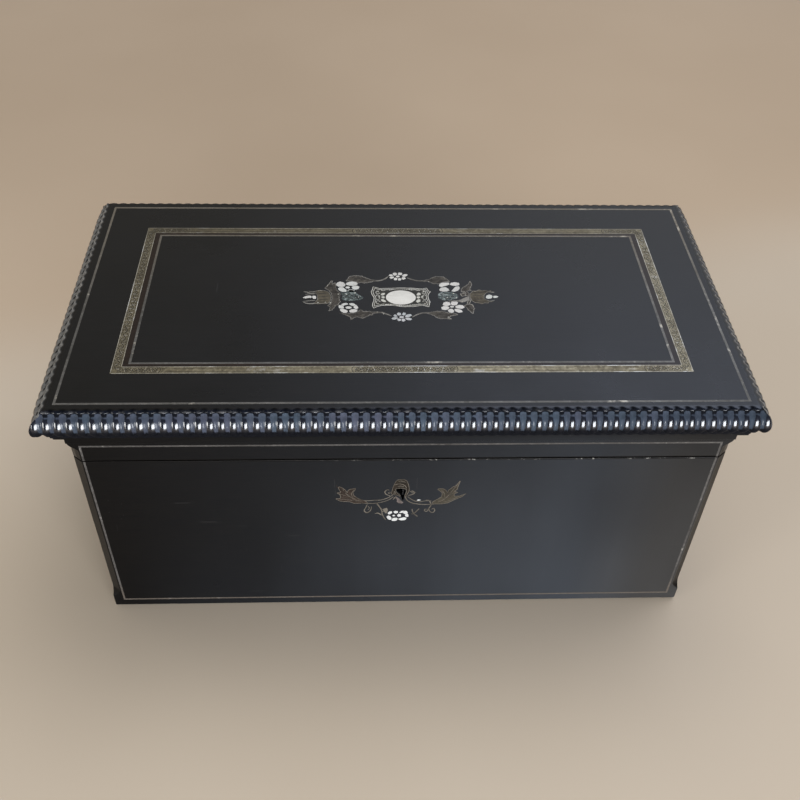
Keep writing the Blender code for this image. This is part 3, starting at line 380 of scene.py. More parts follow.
# the front's foliage and rims are darker copies of the lid's: painted shade for the upright front
FRONT_FOLIAGE = old_brass("front_foliage", (0.047, 0.034, 0.027), (0.026, 0.019, 0.0155), rough=0.45, worn=0.74, wear_scale=60.0, metal=0.3,
                          bright=(0.14, 0.125, 0.105), mottle=(0.46, 0.64, 0.6), level=0.12, drift=((0.036, 0.032, 0.024), (0.068, 0.060, 0.044)))
FRONT_RIMS = old_brass("front_rims", (0.150, 0.134, 0.110), (0.076, 0.066, 0.053), rough=0.42, worn=0.64, wear_scale=90.0, metal=0.25,
                       bright=(0.26, 0.245, 0.215), level=0.12)
ARCH_METAL = old_brass("arch_metal", (0.026, 0.021, 0.016), (0.012, 0.0095, 0.0075), rough=0.45, worn=0.76, wear_scale=60.0, metal=0.25, level=0.12,
                       bright=(0.10, 0.085, 0.07))
FRONT_PALE = old_brass("front_pale", (0.160, 0.136, 0.126), (0.075, 0.062, 0.057), rough=0.42, worn=0.66, wear_scale=140.0, metal=0.2, level=0.2,
                       bright=(0.30, 0.27, 0.25), mottle=(0.46, 0.62, 0.6))
MASTIC = mastic_mat("mastic")
PEARL = pearl_mat("mother_of_pearl")
GREY_PEARL = pearl_mat("grey_pearl", base=(0.44, 0.47, 0.47), tint=0.30, grey=0.42)
FLECK = pearl_mat("pearl_flecks", base=(0.58, 0.57, 0.50), tint=0.10, scale=140.0, grey=0.5)
OVAL_PEARL = pearl_mat("oval_pearl", base=(0.74, 0.725, 0.665), tint=0.06, scale=30.0, grey=0.10)
SHELL = shell_mat("green_shell")
# the front's pearl is a darker copy of the lid's pearl: painted shade against the strong front light
FRONT_PEARL = pearl_mat("front_pearl", base=(0.50, 0.50, 0.485), tint=0.08, grey=0.22)
SILK = silk_mat("crimson_silk")
SILK_SIDE = silk_mat("crimson_silk_side", along=(0, 1))
STEEL = steel_mat("lock_steel")
PIN = steel_mat("pin_steel", (0.32, 0.31, 0.30))
HINGE_BRASS = old_brass("hinge_brass", (0.46, 0.33, 0.15), (0.22, 0.15, 0.07), rough=0.32, worn=0.66, metal=1.0)
SCREW_BRASS = old_brass("screw_brass", (0.42, 0.30, 0.14), (0.16, 0.11, 0.055), rough=0.36, worn=0.64, wear_scale=80.0, metal=1.0)
RAW = bare_wood("raw_underside")


# ---- mesh helpers -----------------------------------------------------------
def link(ob):
    scene.collection.objects.link(ob)
    return ob


def raw(name, verts, faces):
    me = bpy.data.meshes.new(name)
    me.from_pydata((np.asarray(verts, float) * MM).tolist(), [], [tuple(int(i) for i in f) for f in faces])
    return link(bpy.data.objects.new(name, me))


def tidy(ob, weld=1e-7):
    bm = bmesh.new()
    bm.from_mesh(ob.data)
    bmesh.ops.remove_doubles(bm, verts=bm.verts, dist=weld)
    bmesh.ops.dissolve_degenerate(bm, edges=bm.edges, dist=1e-8)
    bmesh.ops.recalc_face_normals(bm, faces=bm.faces)
    bm.to_mesh(ob.data)
    bm.free()
    return ob


def shade(ob, angle=32.0, weighted=True):
    ob.data.shade_smooth()
    ob.data.set_sharp_from_angle(angle=math.radians(angle))
    if weighted:
        w = ob.modifiers.new("weighted", "WEIGHTED_NORMAL")
        w.keep_sharp = True
        w.weight = 100
    return ob


def bake(ob):
    """The object with its modifiers applied, as a plain mesh in the row frame."""
    bpy.context.view_layer.update()
    dg = bpy.context.evaluated_depsgraph_get()
    me = bpy.data.meshes.new_from_object(ob.evaluated_get(dg), preserve_all_data_layers=True, depsgraph=dg)
    me.transform(ob.matrix_world)
    name = ob.name
    bpy.data.objects.remove(ob, do_unlink=True)
    me.name = name
    return link(bpy.data.objects.new(name, me))


def carve(ob, *cutters):
    for c in cutters:
        m = ob.modifiers.new(c.name, "BOOLEAN")
        m.operation, m.solver, m.object = "DIFFERENCE", "EXACT", c
    ob = bake(ob)
    for c in cutters:
        bpy.data.objects.remove(c, do_unlink=True)
    return ob


def block(name, lo, hi):
    (x0, y0, z0), (x1, y1, z1) = lo, hi
    v = [(x, y, z) for z in (z0, z1) for x, y in ((x0, y0), (x1, y0), (x1, y1), (x0, y1))]
    return raw(name, v, [(0, 3, 2, 1), (4, 5, 6, 7), (0, 1, 5, 4), (1, 2, 6, 5), (2, 3, 7, 6), (3, 0, 4, 7)])


def put_on(ob, mat, body, slot, *stands_for):
    ob.data.materials.clear()
    ob.data.materials.append(mat)
    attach(ob, body)
    if stands_for:
        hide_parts(*stands_for)
    return ob


# ---- flat outlines ----------------------------------------------------------
def smooth(points, per=6, closed=False):
    """Catmull-Rom through points of any dimension."""
    p = np.array(points, float)
    n = len(p)
    out = []
    for i in range(n if closed else n - 1):
        if closed:
            a, b, c, d = p[(i - 1) % n], p[i], p[(i + 1) % n], p[(i + 2) % n]
        else:
            a, b, c, d = p[max(i - 1, 0)], p[i], p[i + 1], p[min(i + 2, n - 1)]
        for k in range(per):
            t = k / per
            out.append(0.5 * (2 * b + (c - a) * t + (2 * a - 5 * b + 4 * c - d) * t ** 2
                              + (3 * b - a - 3 * c + d) * t ** 3))
    if not closed:
        out.append(p[-1])
    return np.array(out)


def f_disc(x, y, cx, cy, rx, ry, turn=0.0):
    c, s = math.cos(turn), math.sin(turn)
    u, v = (x - cx) * c + (y - cy) * s, -(x - cx) * s + (y - cy) * c
    k = np.hypot(u / rx, v / ry)
    return (k - 1.0) * min(rx, ry) * (0.5 + 0.5 * np.clip(k, 0, 1))


def f_stroke(x, y, pts, per=6):
    """Distance to a tapering stroke; each point is (x, y, half width)."""
    p = smooth(pts, per)
    d = np.full_like(x, 1e3)
    for a, b in zip(p[:-1], p[1:]):
        e = b[:2] - a[:2]
        t = np.clip(((x - a[0]) * e[0] + (y - a[1]) * e[1]) / max(e @ e, 1e-9), 0, 1)
        d = np.minimum(d, np.hypot(x - a[0] - t * e[0], y - a[1] - t * e[1]) - (a[2] + t * (b[2] - a[2])))
    return d


def f_line(x, y, pts, half):
    """Distance to an even stroke through the points, less its half width."""
    return f_stroke(x, y, [(a, b, half) for a, b in pts], 4)


def f_poly(x, y, pts):
    """Signed distance to a closed polygon, negative inside."""
    p = np.array(pts, float)
    q = np.roll(p, -1, axis=0)
    d = np.full_like(x, 1e6)
    inside = np.zeros(x.shape, bool)
    for a, b in zip(p, q):
        e = b - a
        t = np.clip(((x - a[0]) * e[0] + (y - a[1]) * e[1]) / max(e @ e, 1e-12), 0, 1)
        d = np.minimum(d, (x - a[0] - t * e[0]) ** 2 + (y - a[1] - t * e[1]) ** 2)
        if a[1] != b[1]:
            inside ^= ((a[1] > y) != (b[1] > y)) & (x < (b[0] - a[0]) * (y - a[1]) / (b[1] - a[1]) + a[0])
    return np.where(inside, -1.0, 1.0) * np.sqrt(d)


def trace(field, window, step=0.2, tol=0.02, least=0.04):
    """Closed loops round where the field is negative, by marching squares on a slightly turned grid."""
    x0, y0, x1, y1 = window
    mx, my, c, s = (x0 + x1) / 2, (y0 + y1) / 2, math.cos(0.13), math.sin(0.13)
    hx, hy = ((x1 - x0) * c + (y1 - y0) * s) / 2, ((x1 - x0) * s + (y1 - y0) * c) / 2
    xs, ys = np.arange(-hx, hx + step, step), np.arange(-hy, hy + step, step)
    gx, gy = np.meshgrid(xs, ys, indexing="ij")
    v = field(mx + gx * c - gy * s, my + gx * s + gy * c)
    v[np.abs(v) < 1e-6] = 1e-6
    v[0, :] = v[-1, :] = 1.0
    v[:, 0] = v[:, -1] = 1.0
    table = {1: [(3, 0)], 2: [(0, 1)], 3: [(3, 1)], 4: [(1, 2)], 5: [(3, 2), (1, 0)], 6: [(0, 2)], 7: [(3, 2)],
             8: [(2, 3)], 9: [(2, 0)], 10: [(0, 3), (2, 1)], 11: [(2, 1)], 12: [(1, 3)], 13: [(1, 0)], 14: [(0, 3)]}
    ins = v < 0
    code = ins[:-1, :-1] * 1 + ins[1:, :-1] * 2 + ins[1:, 1:] * 4 + ins[:-1, 1:] * 8
    nxt, pos = {}, {}

    def edge(i, j, e):
        (ia, ja), (ib, jb) = {0: ((i, j), (i + 1, j)), 1: ((i + 1, j), (i + 1, j + 1)),
                              2: ((i, j + 1), (i + 1, j + 1)), 3: ((i, j), (i, j + 1))}[e]
        key = (ia, ja, ib, jb)
        if key not in pos:
            t = min(0.97, max(0.03, v[ia, ja] / (v[ia, ja] - v[ib, jb])))
            pos[key] = (xs[ia] + t * (xs[ib] - xs[ia]), ys[ja] + t * (ys[jb] - ys[ja]))
        return key

    for i, j in zip(*np.nonzero((code > 0) & (code < 15))):
        for a, b in table[int(code[i, j])]:
            nxt[edge(i, j, a)] = edge(i, j, b)
    loops = []
    while nxt:
        k = next(iter(nxt))
        loop = []
        while k in nxt:
            u, w = pos[k]
            loop.append((mx + u * c - w * s, my + u * s + w * c))
            k = nxt.pop(k)
        loops.append(np.array(loop))

    def thin(p):
        keep = np.zeros(len(p), bool)
        keep[[0, -1]] = True
        stack = [(0, len(p) - 1)]
        while stack:
            i, j = stack.pop()
            if j - i < 2:
                continue
            a, e = p[i], p[j] - p[i]
            n = math.hypot(*e)
            q = p[i + 1:j] - a
            d = np.abs(e[0] * q[:, 1] - e[1] * q[:, 0]) / n if n > 1e-9 else np.hypot(*q.T)
            k = int(np.argmax(d))
            if d[k] > tol:
                k += i + 1
                keep[k] = True
                stack += [(i, k), (k, j)]
        return p[keep]

    out = []
    for p in loops:
        if 0.5 * abs(np.sum(p[:, 0] * np.roll(p[:, 1], -1) - p[:, 1] * np.roll(p[:, 0], -1))) < least:
            continue
        k = int(np.argmax(np.hypot(*(p - p[0]).T)))
        q = np.vstack((thin(p[:k + 1])[:-1], thin(np.vstack((p[k:], p[:1])))[:-1]))
        if len(q) > 2:
            out.append(q)
    return out


def plate(name, loops, low, high, face="top"):
    """A flat outline given thickness. On the top face low and high are heights;
    on the front face they are how far out of the ground the plate's back and front lie (-Y)."""
    cu = bpy.data.curves.new(name, "CURVE")
    cu.dimensions, cu.fill_mode = "2D", "BOTH"
    cu.extrude = (high - low) / 2 * MM
    for loop in loops:
        sp = cu.splines.new("POLY")
        sp.points.add(len(loop) - 1)
        sp.points.foreach_set("co", np.hstack((np.asarray(loop) * MM, np.zeros((len(loop), 1)), np.ones((len(loop), 1)))).ravel())
        sp.use_cyclic_u = True
    ob = link(bpy.data.objects.new(name, cu))
    if face == "top":
        ob.location = (0, 0, (low + high) / 2 * MM)
    else:
        ob.rotation_euler = (math.pi / 2, 0, 0)
        ob.location = (0, -(low + high) / 2 * MM, 0)
    return tidy(bake(ob))


def rectangle(hx, hy, cx=0.0, cy=0.0):
    return np.array([(cx - hx, cy - hy), (cx + hx, cy - hy), (cx + hx, cy + hy), (cx - hx, cy + hy)], float)


# ---- carcase and lid frame --------------------------------------------------
def outline(hx, hy, cx, cy, r, k=3):
    """A rectangle with canted, eased corners, anticlockwise, and how much each point is rubbed."""
    v = [(hx - cx, -hy), (hx, -hy + cy), (hx, hy - cy), (hx - cx, hy), (-hx + cx, hy), (-hx, hy - cy), (-hx, -hy + cy), (-hx + cx, -hy)]
    v = [np.array(p) for p in v]
    pts, worn = [], []
    for i, p in enumerate(v):
        a, b = v[i - 1], v[(i + 1) % 8]
        a, b = p + (a - p) / np.hypot(*(a - p)) * r, p + (b - p) / np.hypot(*(b - p)) * r
        for t in np.linspace(0, 1, k + 1):
            pts.append((1 - t) ** 2 * a + 2 * t * (1 - t) * p + t * t * b)
            canted = i % 2 == 0 and t > 0.9 or i % 2 == 1 and t < 0.1      # the point lies on a cant's face
            worn.append(max(math.sin(math.pi * t), 0.75 if canted else 0.0))
    return np.array(pts), np.array(worn)


def loft(name, rings):
    """A closed skin through rings of (out, z, share of the cant, arris radius, rub), the last joined to the first."""
    verts, wear = [], []
    for o, z, f, r, rub in rings:
        cx, cy = max(0.5, CANT_X * f), max(0.5, CANT_Y * f)
        p, w = outline(HALF_X + o, HALF_Y + o, cx, cy, min(r, 0.42 * math.hypot(cx, cy)))
        verts.append(np.column_stack((p, np.full(len(p), z))))
        wear.append(np.maximum(w if r > 0.2 else 0 * w, rub))
    n = len(verts[0])
    faces = [(i * n + k, i * n + (k + 1) % n, (i + 1) % len(rings) * n + (k + 1) % n, (i + 1) % len(rings) * n + k)
             for i in range(len(rings)) for k in range(n)]
    ob = raw(name, np.vstack(verts), faces)
    ob.data.attributes.new("wear", "FLOAT", "POINT").data.foreach_set("value", np.concatenate(wear).astype(np.float32))
    return tidy(ob)


def piece(name, whole, planes):
    """What is left of a mesh on the near side of each (point, outward normal), capped."""
    bm = bmesh.new()
    bm.from_mesh(whole.data)
    for p, n in planes:
        cut = bmesh.ops.bisect_plane(bm, geom=bm.verts[:] + bm.edges[:] + bm.faces[:], dist=1e-8,
                                     plane_co=Vector(p) * MM, plane_no=Vector(n), clear_outer=True)
        edges = [g for g in cut["geom_cut"] if isinstance(g, bmesh.types.BMEdge) and g.is_boundary]
        bmesh.ops.holes_fill(bm, edges=edges, sides=0)
    me = bpy.data.meshes.new(name)
    bmesh.ops.recalc_face_normals(bm, faces=bm.faces)
    bm.to_mesh(me)
    bm.free()
    return link(bpy.data.objects.new(name, me))


foot = [(-1.9 * (1 - math.sin(t)), 1.9 * (1 - math.cos(t)), 0.08, 0.4, 0.5 * math.sin(2 * t)) for t in np.radians([0, 15, 32, 50, 70, 90])]
stop = [(0.0, 12 + 7 * t, 0.08 + 0.92 * (1 - (1 - t) ** 2), 0.5, 0.0) for t in np.linspace(0, 1, 10)]
top = [(0.0, BODY_TOP - 0.6, 1, 0.5, 0.0), (-0.06, BODY_TOP - 0.3, 1, 0.5, 0.8), (-0.2, BODY_TOP - 0.08, 1, 0.5, 1.0),
       (-0.5, BODY_TOP, 1, 0.5, 0.4)]
inside = [(-WALL + 0.4, BODY_TOP, 0, 0.1, 0.2), (-WALL + 0.1, BODY_TOP - 0.1, 0, 0.1, 0.5), (-WALL, BODY_TOP - 0.4, 0, 0.1, 0.1),
          (-WALL, 0.0, 0, 0.1, 0.0)]
body = loft("carcase_skin", foot + stop + top + inside)
MX = HALF_X - HALF_Y
walls = {
    "front": piece("front_board", body, [((0, -IN_Y + 0.05, 0), (0, 1, 0))]),
    "back": piece("back_board", body, [((0, IN_Y - 0.05, 0), (0, -1, 0))]),
    "left": piece("left_board", body, [((0, IN_Y - 0.05, 0), (0, 1, 0)), ((0, -IN_Y + 0.05, 0), (0, -1, 0)), ((0, 0, 0), (1, 0, 0))]),
    "right": piece("right_board", body, [((0, IN_Y - 0.05, 0), (0, 1, 0)), ((0, -IN_Y + 0.05, 0), (0, -1, 0)), ((0, 0, 0), (-1, 0, 0))])}
bpy.data.objects.remove(body, do_unlink=True)

cove = [(0.6 + (COVE_OUT - 0.6) * (1 - math.cos(t)), 174.0 + 5.0 * math.sin(t)) for t in np.radians(np.linspace(0, 90, 12))]
rings = [(-WALL + 0.3, LID_BOTTOM, 0, 0.1, 0.2), (-0.5, LID_BOTTOM, 1, 0.5, 0.4), (-0.2, LID_BOTTOM + 0.08, 1, 0.5, 0.9),
         (-0.06, LID_BOTTOM + 0.3, 1, 0.5, 0.7), (0, LID_BOTTOM + 0.6, 1, 0.5, 0), (0, 162.6, 1, 0.5, 0)]
rings += [(0, 162.6 + 7.0 * k, 1 - 0.92 * (3 * k ** 2 - 2 * k ** 3), 0.5, 0) for k in np.linspace(0.125, 1, 8)]
rings += [(0, RAIL_TOP, 0.08, 0.4, 0), (0.15, RAIL_TOP + 0.3, 0.08, 0.4, 0.5), (0.45, RAIL_TOP + 0.5, 0.08, 0.4, 0.3), (0.6, RAIL_TOP + 0.7, 0.08, 0.4, 0),
          (0.6, 172.6, 0.08, 0.4, 0)]
rings += [(o, z, 0.08, 0.4, 0) for o, z in cove] + [(COVE_OUT, PANEL_BOTTOM - GAP, 0.08, 0.4, 0), (-WALL, PANEL_BOTTOM - GAP, 0, 0.1, 0),
                                                     (-WALL, LID_BOTTOM + 0.3, 0, 0.1, 0.1)]
lid_frame = loft("lid_skin", rings)
mitre = {"fr": ((MX, 0, 0), (1, 1, 0)), "fl": ((-MX, 0, 0), (-1, 1, 0)), "br": ((MX, 0, 0), (1, -1, 0)), "bl": ((-MX, 0, 0), (-1, -1, 0))}


def away(key, sign):
    p, n = mitre[key]
    return (p, tuple(sign * c for c in n))


CUTS = {"front": [away("fr", 1), away("fl", 1)], "back": [away("br", 1), away("bl", 1)],
        "left": [away("fl", -1), away("bl", -1)], "right": [away("fr", -1), away("br", -1)]}
HALVES = {"front": [((0, 0, 0), (0, 1, 0))], "back": [((0, 0, 0), (0, -1, 0))], "left": [((0, 0, 0), (1, 0, 0))], "right": [((0, 0, 0), (-1, 0, 0))]}
rails = {s: piece(s + "_rail", lid_frame, CUTS[s] + HALVES[s]) for s in CUTS}
bpy.data.objects.remove(lid_frame, do_unlink=True)


# ---- ripple mouldings -------------------------------------------------------
def lobe_shape():
    """The big lobe from its shelf round to its underside: turned quickly over the top, then a long, flatter face."""
    o, z, out = 9.98, 200.1, []
    for n0, n1, length, parts in ((60, 40, 1.2, 2), (40, 33, 1.6, 2), (33, 22, 3.4, 4), (22, -90, 6.27 * math.radians(112), 9)):
        for i in range(parts):
            n = math.radians(n0 + (n1 - n0) * (i + 0.5) / parts)
            out.append(((o - 7.5) / 6.38, (z - 193.6) / 7.2))
            o, z = o + math.sin(n) * length / parts, z - math.cos(n) * length / parts
    return out + [((o - 7.5) / 6.38, (z - 193.6) / 7.2)]


LOBE = lobe_shape()


def lobe(p, q):
    return [(7.5 + p * a, 193.6 + q * b) for a, b in LOBE]


# the moulding's section on a crest and in a hollow: a sloped top with a ridge, a quirk, the big lobe and a shallow foot
CREST = [(4.6, 204.0), (5.5, 203.97), (6.4, 203.83), (7.2, 203.62), (7.62, 203.36), (7.82, 202.9), (7.95, 202.2), (8.25, 201.4), (9.0, 200.75)] + lobe(6.1, 7.2) + \
        [(6.7, 186.15), (6.25, 185.0), (6.05, 183.2), (5.85, 181.3), (5.5, 180.5), (4.7, 180.4)]
HOLLOW = [(4.3, 204.0), (5.0, 203.97), (5.7, 203.8), (6.4, 203.52), (6.78, 203.2), (6.95, 202.7), (7.05, 201.9), (7.3, 200.95), (8.0, 200.1)] + lobe(4.9, 6.0) + \
         [(6.4, 187.2), (5.75, 186.2), (5.5, 184.2), (5.35, 181.9), (5.2, 180.8), (4.7, 180.7)]
PHASE = {"front": -1.3, "back": -1.3, "left": -106.9, "right": -111.05}


def step(x):
    x = np.clip(x, 0, 1)
    return x * x * (3 - 2 * x)


def ripple(side):
    half = HALF_X if side in ("front", "back") else HALF_Y
    other = HALF_Y if side in ("front", "back") else HALF_X
    tail = [(4.7, PANEL_BOTTOM), (PANEL_OUT, PANEL_BOTTOM)]
    c = np.vstack(([(PANEL_OUT, 204.0)], CREST, tail))
    h = np.vstack(([(PANEL_OUT, 204.0)], HOLLOW, tail))
    reach = half + 15.0
    s = np.arange(-reach, reach + 1e-6, PITCH / 16)
    turns = (s - PHASE[side]) / PITCH
    if side == "front":
        # the cutter gained a little on this length towards its right end
        turns += -0.17 + 0.0051 * np.maximum(s, 0.0)
    phi = 2 * math.pi * turns
    # each wave's height and place wander slightly, as the hand-fed cutter left them
    drift = 0.045 * np.sin(s * 0.071 + 1.3) + 0.035 * np.sin(s * 0.193 + 0.4)
    w = (np.cos(phi + drift * 2) - 0.12 * np.cos(2 * (phi + drift * 2)) + 1.12) / 2
    w = np.clip(w * (1.0 + 0.05 * np.sin(s * 0.117 + 2.0)) - 0.02, 0, 1)
    p = h[None] + (c - h)[None] * w[:, None, None]
    if side in ("left", "right"):
        # the end mouldings are a little fuller over the shoulder, less so near the mitres
        full = {"left": 1.7, "right": 0.8}[side] * np.interp(np.abs(s), [96.0, 111.0], [1.0, 0.25])
        p[..., 0] += full[:, None] * np.interp(p[..., 1], [187.0, 191.0, 194.5, 197.5, 200.0, 202.3, 203.4], [0.0, 0.35, 0.6, 0.9, 1.0, 0.6, 0.0])
    n, m = p.shape[:2]
    o, z = p[..., 0].ravel(), p[..., 1].ravel()
    a = np.repeat(s, m)
    xyz = {"front": (a, -other - o, z), "back": (-a, other + o, z), "left": (-other - o, a, z), "right": (other + o, a, z)}[side]
    faces = [(i * m + k, (i + 1) * m + k, (i + 1) * m + (k + 1) % m, i * m + (k + 1) % m) for i in range(n - 1) for k in range(m)]
    faces += [tuple(range(m)), tuple(range(n * m - 1, n * m - m - 1, -1))]
    whole = raw("ripple_" + side, np.column_stack(xyz), faces)
    zc = c[:, 1]
    flat = np.interp(zc, [203.84, 203.97], [0.0, 1.0])
    # dust fills the hollows, more widely towards the quirk, and lies on the shelf over each lobe
    width = np.interp(zc, [186.0, 193.0, 196.0, 198.5, 200.5, 202.5], [0.75, 0.62, 0.54, 0.42, 0.26, 0.34])
    hollow = step(((1 - w)[:, None] - width[None]) / 0.24 + 0.5)
    top = [202.1, 202.9] if side in ("front", "back") else [203.5, 203.9]
    hollow *= (np.interp(zc, [180.5, 186.5, 191.0, 193.6], [0.08, 0.10, 0.22, 1.0]) * np.interp(zc, top, [1.0, 0.0]))[None]
    shelf = np.exp(-((zc - 200.75) / 0.55) ** 2)
    hollow = np.maximum(hollow, 0.80 * shelf[None] * (0.55 + 0.45 * np.sin(phi + 0.9))[:, None])
    # dull, and darkened as painted shade: the underside, the quirk under the ridge, and the ridge between the crests
    under = np.maximum(np.interp(zc, [193.0, 195.4], [0.93, 0.0]), np.interp(zc, [200.4, 201.0, 202.9, 203.2], [0.0, 1.0, 1.0, 0.0]))[None]
    if side in ("front", "back"):
        under = np.maximum(under, np.where((zc > 202.8) & (zc < 203.98), 1.0, 0.0)[None] * (1 - w)[:, None] ** 0.7)
    under = under + np.zeros((n, 1))
    # pale marks along the ridge's lip, stronger on the crests: wear, and painted glints
    lip_wear_and_glint = np.where((zc < 203.9) & (zc > 202.8), np.exp(-((zc - 203.45) / 0.25) ** 2), 0.0)
    edge = lip_wear_and_glint[None] * (0.15 + 0.85 * w[:, None])
    for name, value in (("hollow", hollow.ravel()), ("flat", np.tile(flat, n)), ("under", under.ravel()), ("end", np.full(n * m, float(side in ("left", "right")))), ("wear", edge.ravel())):
        whole.data.attributes.new(name, "FLOAT", "POINT").data.foreach_set("value", value.astype(np.float32))
    tidy(whole)
    ob = piece(side + "_ripple", whole, CUTS[side])
    bpy.data.objects.remove(whole, do_unlink=True)
    return shade(ob, 50, weighted=False)


for side in ("front", "back", "left", "right"):
    put_on(ripple(side), RIPPLE_BLACK, "lid", "ripple_gloss", "ripple_moulding_" + side)


# ---- flat shapes and lines given thickness --------------------------------------
class Relief:
    """Flat shapes and lines gathered in one mesh, between two heights over the lid, or two distances out of the front."""

    def __init__(self, name, low, high, face="top"):
        self.name, self.low, self.high, self.face = name, low, high, face
        self.verts, self.faces = [], []

    def shape(self, points):
        p = np.asarray(points, float)[:, :2]
        n, k = len(p), len(self.verts)
        self.verts += [(x, y, self.high) for x, y in p] + [(x, y, self.low) for x, y in p]
        for a, b, c in tessellate_polygon([[Vector((x, y, 0.0)) for x, y in p]]):
            self.faces += [(k + a, k + b, k + c), (k + n + c, k + n + b, k + n + a)]
        self.faces += [(k + i, k + n + i, k + n + (i + 1) % n, k + (i + 1) % n) for i in range(n)]
        return self

    def round(self, x, y, rx, ry=None, n=12, turn=0.0):
        a = np.linspace(0, 2 * math.pi, n, endpoint=False)
        u, v = rx * np.cos(a), (ry or rx) * np.sin(a)
        return self.shape(np.column_stack((x + u * math.cos(turn) - v * math.sin(turn), y + u * math.sin(turn) + v * math.cos(turn))))

    def line(self, points, half=None, per=0, closed=False):
        """A line through (x, y) of one half width, or through (x, y, half width)."""
        p = np.asarray(points, float)
        if per:
            p = smooth(p, per, closed)
        h = p[:, 2] if half is None else np.full(len(p), half)
        p = p[:, :2]
        t = np.roll(p, -1, 0) - np.roll(p, 1, 0) if closed else np.gradient(p, axis=0)
        t = t / np.maximum(np.hypot(t[:, 0], t[:, 1]), 1e-9)[:, None]
        side = np.column_stack((-t[:, 1], t[:, 0])) * np.maximum(h, 0.03)[:, None]
        k, n = len(self.verts), len(p)
        for a, b in zip(p + side, p - side):
            self.verts += [(a[0], a[1], self.high), (b[0], b[1], self.high), (b[0], b[1], self.low), (a[0], a[1], self.low)]
        for i in range(n if closed else n - 1):
            a, b = k + 4 * i, k + 4 * ((i + 1) % n)
            self.faces += [(a + q, a + (q + 1) % 4, b + (q + 1) % 4, b + q) for q in range(4)]
        if not closed:
            e = k + 4 * (n - 1)
            self.faces += [(k, k + 3, k + 2, k + 1), (e, e + 1, e + 2, e + 3)]
        return self

    def make(self, mat, body, slot, *stands_for):
        v = np.array(self.verts, float)
        if self.face == "front":
            v = np.column_stack((v[:, 0], -v[:, 2], v[:, 1]))
        ob = tidy(raw(self.name, v, self.faces))
        return put_on(shade(ob, weighted=False), mat, body, slot, *stands_for)


# ---- lid panel, stringing and the engraved band ----------------------------------
LID_IN = (LID_TOP - INLAY, LID_TOP + PROUD)
LID_ON = (LID_TOP - INLAY, LID_TOP + PROUD + 0.014)            # lines that lie on an inlay
verts = [(sx * (HALF_X + o), sy * (HALF_Y + o), z) for o, z in ((3.0, PANEL_BOTTOM), (3.6, PANEL_BOTTOM + 0.16), (3.9, PANEL_BOTTOM + 0.5), (PANEL_OUT, PANEL_BOTTOM + 1.0), (PANEL_OUT, LID_TOP))
         for sx, sy in ((-1, -1), (1, -1), (1, 1), (-1, 1))]
faces = [(3, 2, 1, 0), (16, 17, 18, 19)] + [(4 * i + k, 4 * i + (k + 1) % 4, 4 * i + 4 + (k + 1) % 4, 4 * i + 4 + k) for i in range(4) for k in range(4)]
panel = shade(tidy(raw("lid_panel", verts, faces)))
put_on(panel, LID_BLACK, "lid", "ebonised_wood", "lid_top_panel")

for name, (hx, hy), node in (("outer_line", OUTER_LINE, "lid_outer_stringing"), ("inner_line", INNER_LINE, "lid_inner_stringing")):
    ob = plate(name, [rectangle(hx + 0.1, hy + 0.1), rectangle(hx - STRING - 0.1, hy - STRING - 0.1)], *LID_IN)
    put_on(shade(ob), STRINGING, "lid", "stringing_brass", node)

bx, by = BAND
BW = BAND_WIDTH
# a strip of brown wood between the band and the inner line
put_on(shade(plate("brown_strip", [rectangle(bx - BW - 0.05, by - BW - 0.05), rectangle(INNER_LINE[0] + 0.05, INNER_LINE[1] + 0.05)],
                   LID_TOP - INLAY, LID_TOP + 0.012)), BROWN_WOOD, "lid", "ebonised_wood")

joint = 0.07
band = Relief("engraved_band", *LID_IN)
for s in (-1, 1):
    band.shape([(-bx + joint, s * by), (bx - joint, s * by), (bx - BW - joint, s * (by - BW)), (-bx + BW + joint, s * (by - BW))])
    band.shape([(s * bx, -by + joint), (s * (bx - BW), -by + BW + joint), (s * (bx - BW), by - BW - joint), (s * bx, by - joint)])
band.make(BAND_METAL, "lid", "band_brass", "lid_engraved_band")

edges = Relief("band_edges", *LID_ON)
for s in (-1, 1):
    for inset, half in ((0.26, 0.22), (BW - 0.26, 0.22)):
        edges.line([(-bx + inset + 0.5, s * (by - inset)), (0, s * (by - inset)), (bx - inset - 0.5, s * (by - inset))], half)
        edges.line([(s * (bx - inset), -by + inset + 0.5), (s * (bx - inset), 0), (s * (bx - inset), by - inset - 0.5)], half)
edges.make(BAND_EDGES, "lid", "band_brass")

cuts = Relief("band_engraving", *LID_ON)
lights = Relief("band_highlights", *LID_ON)


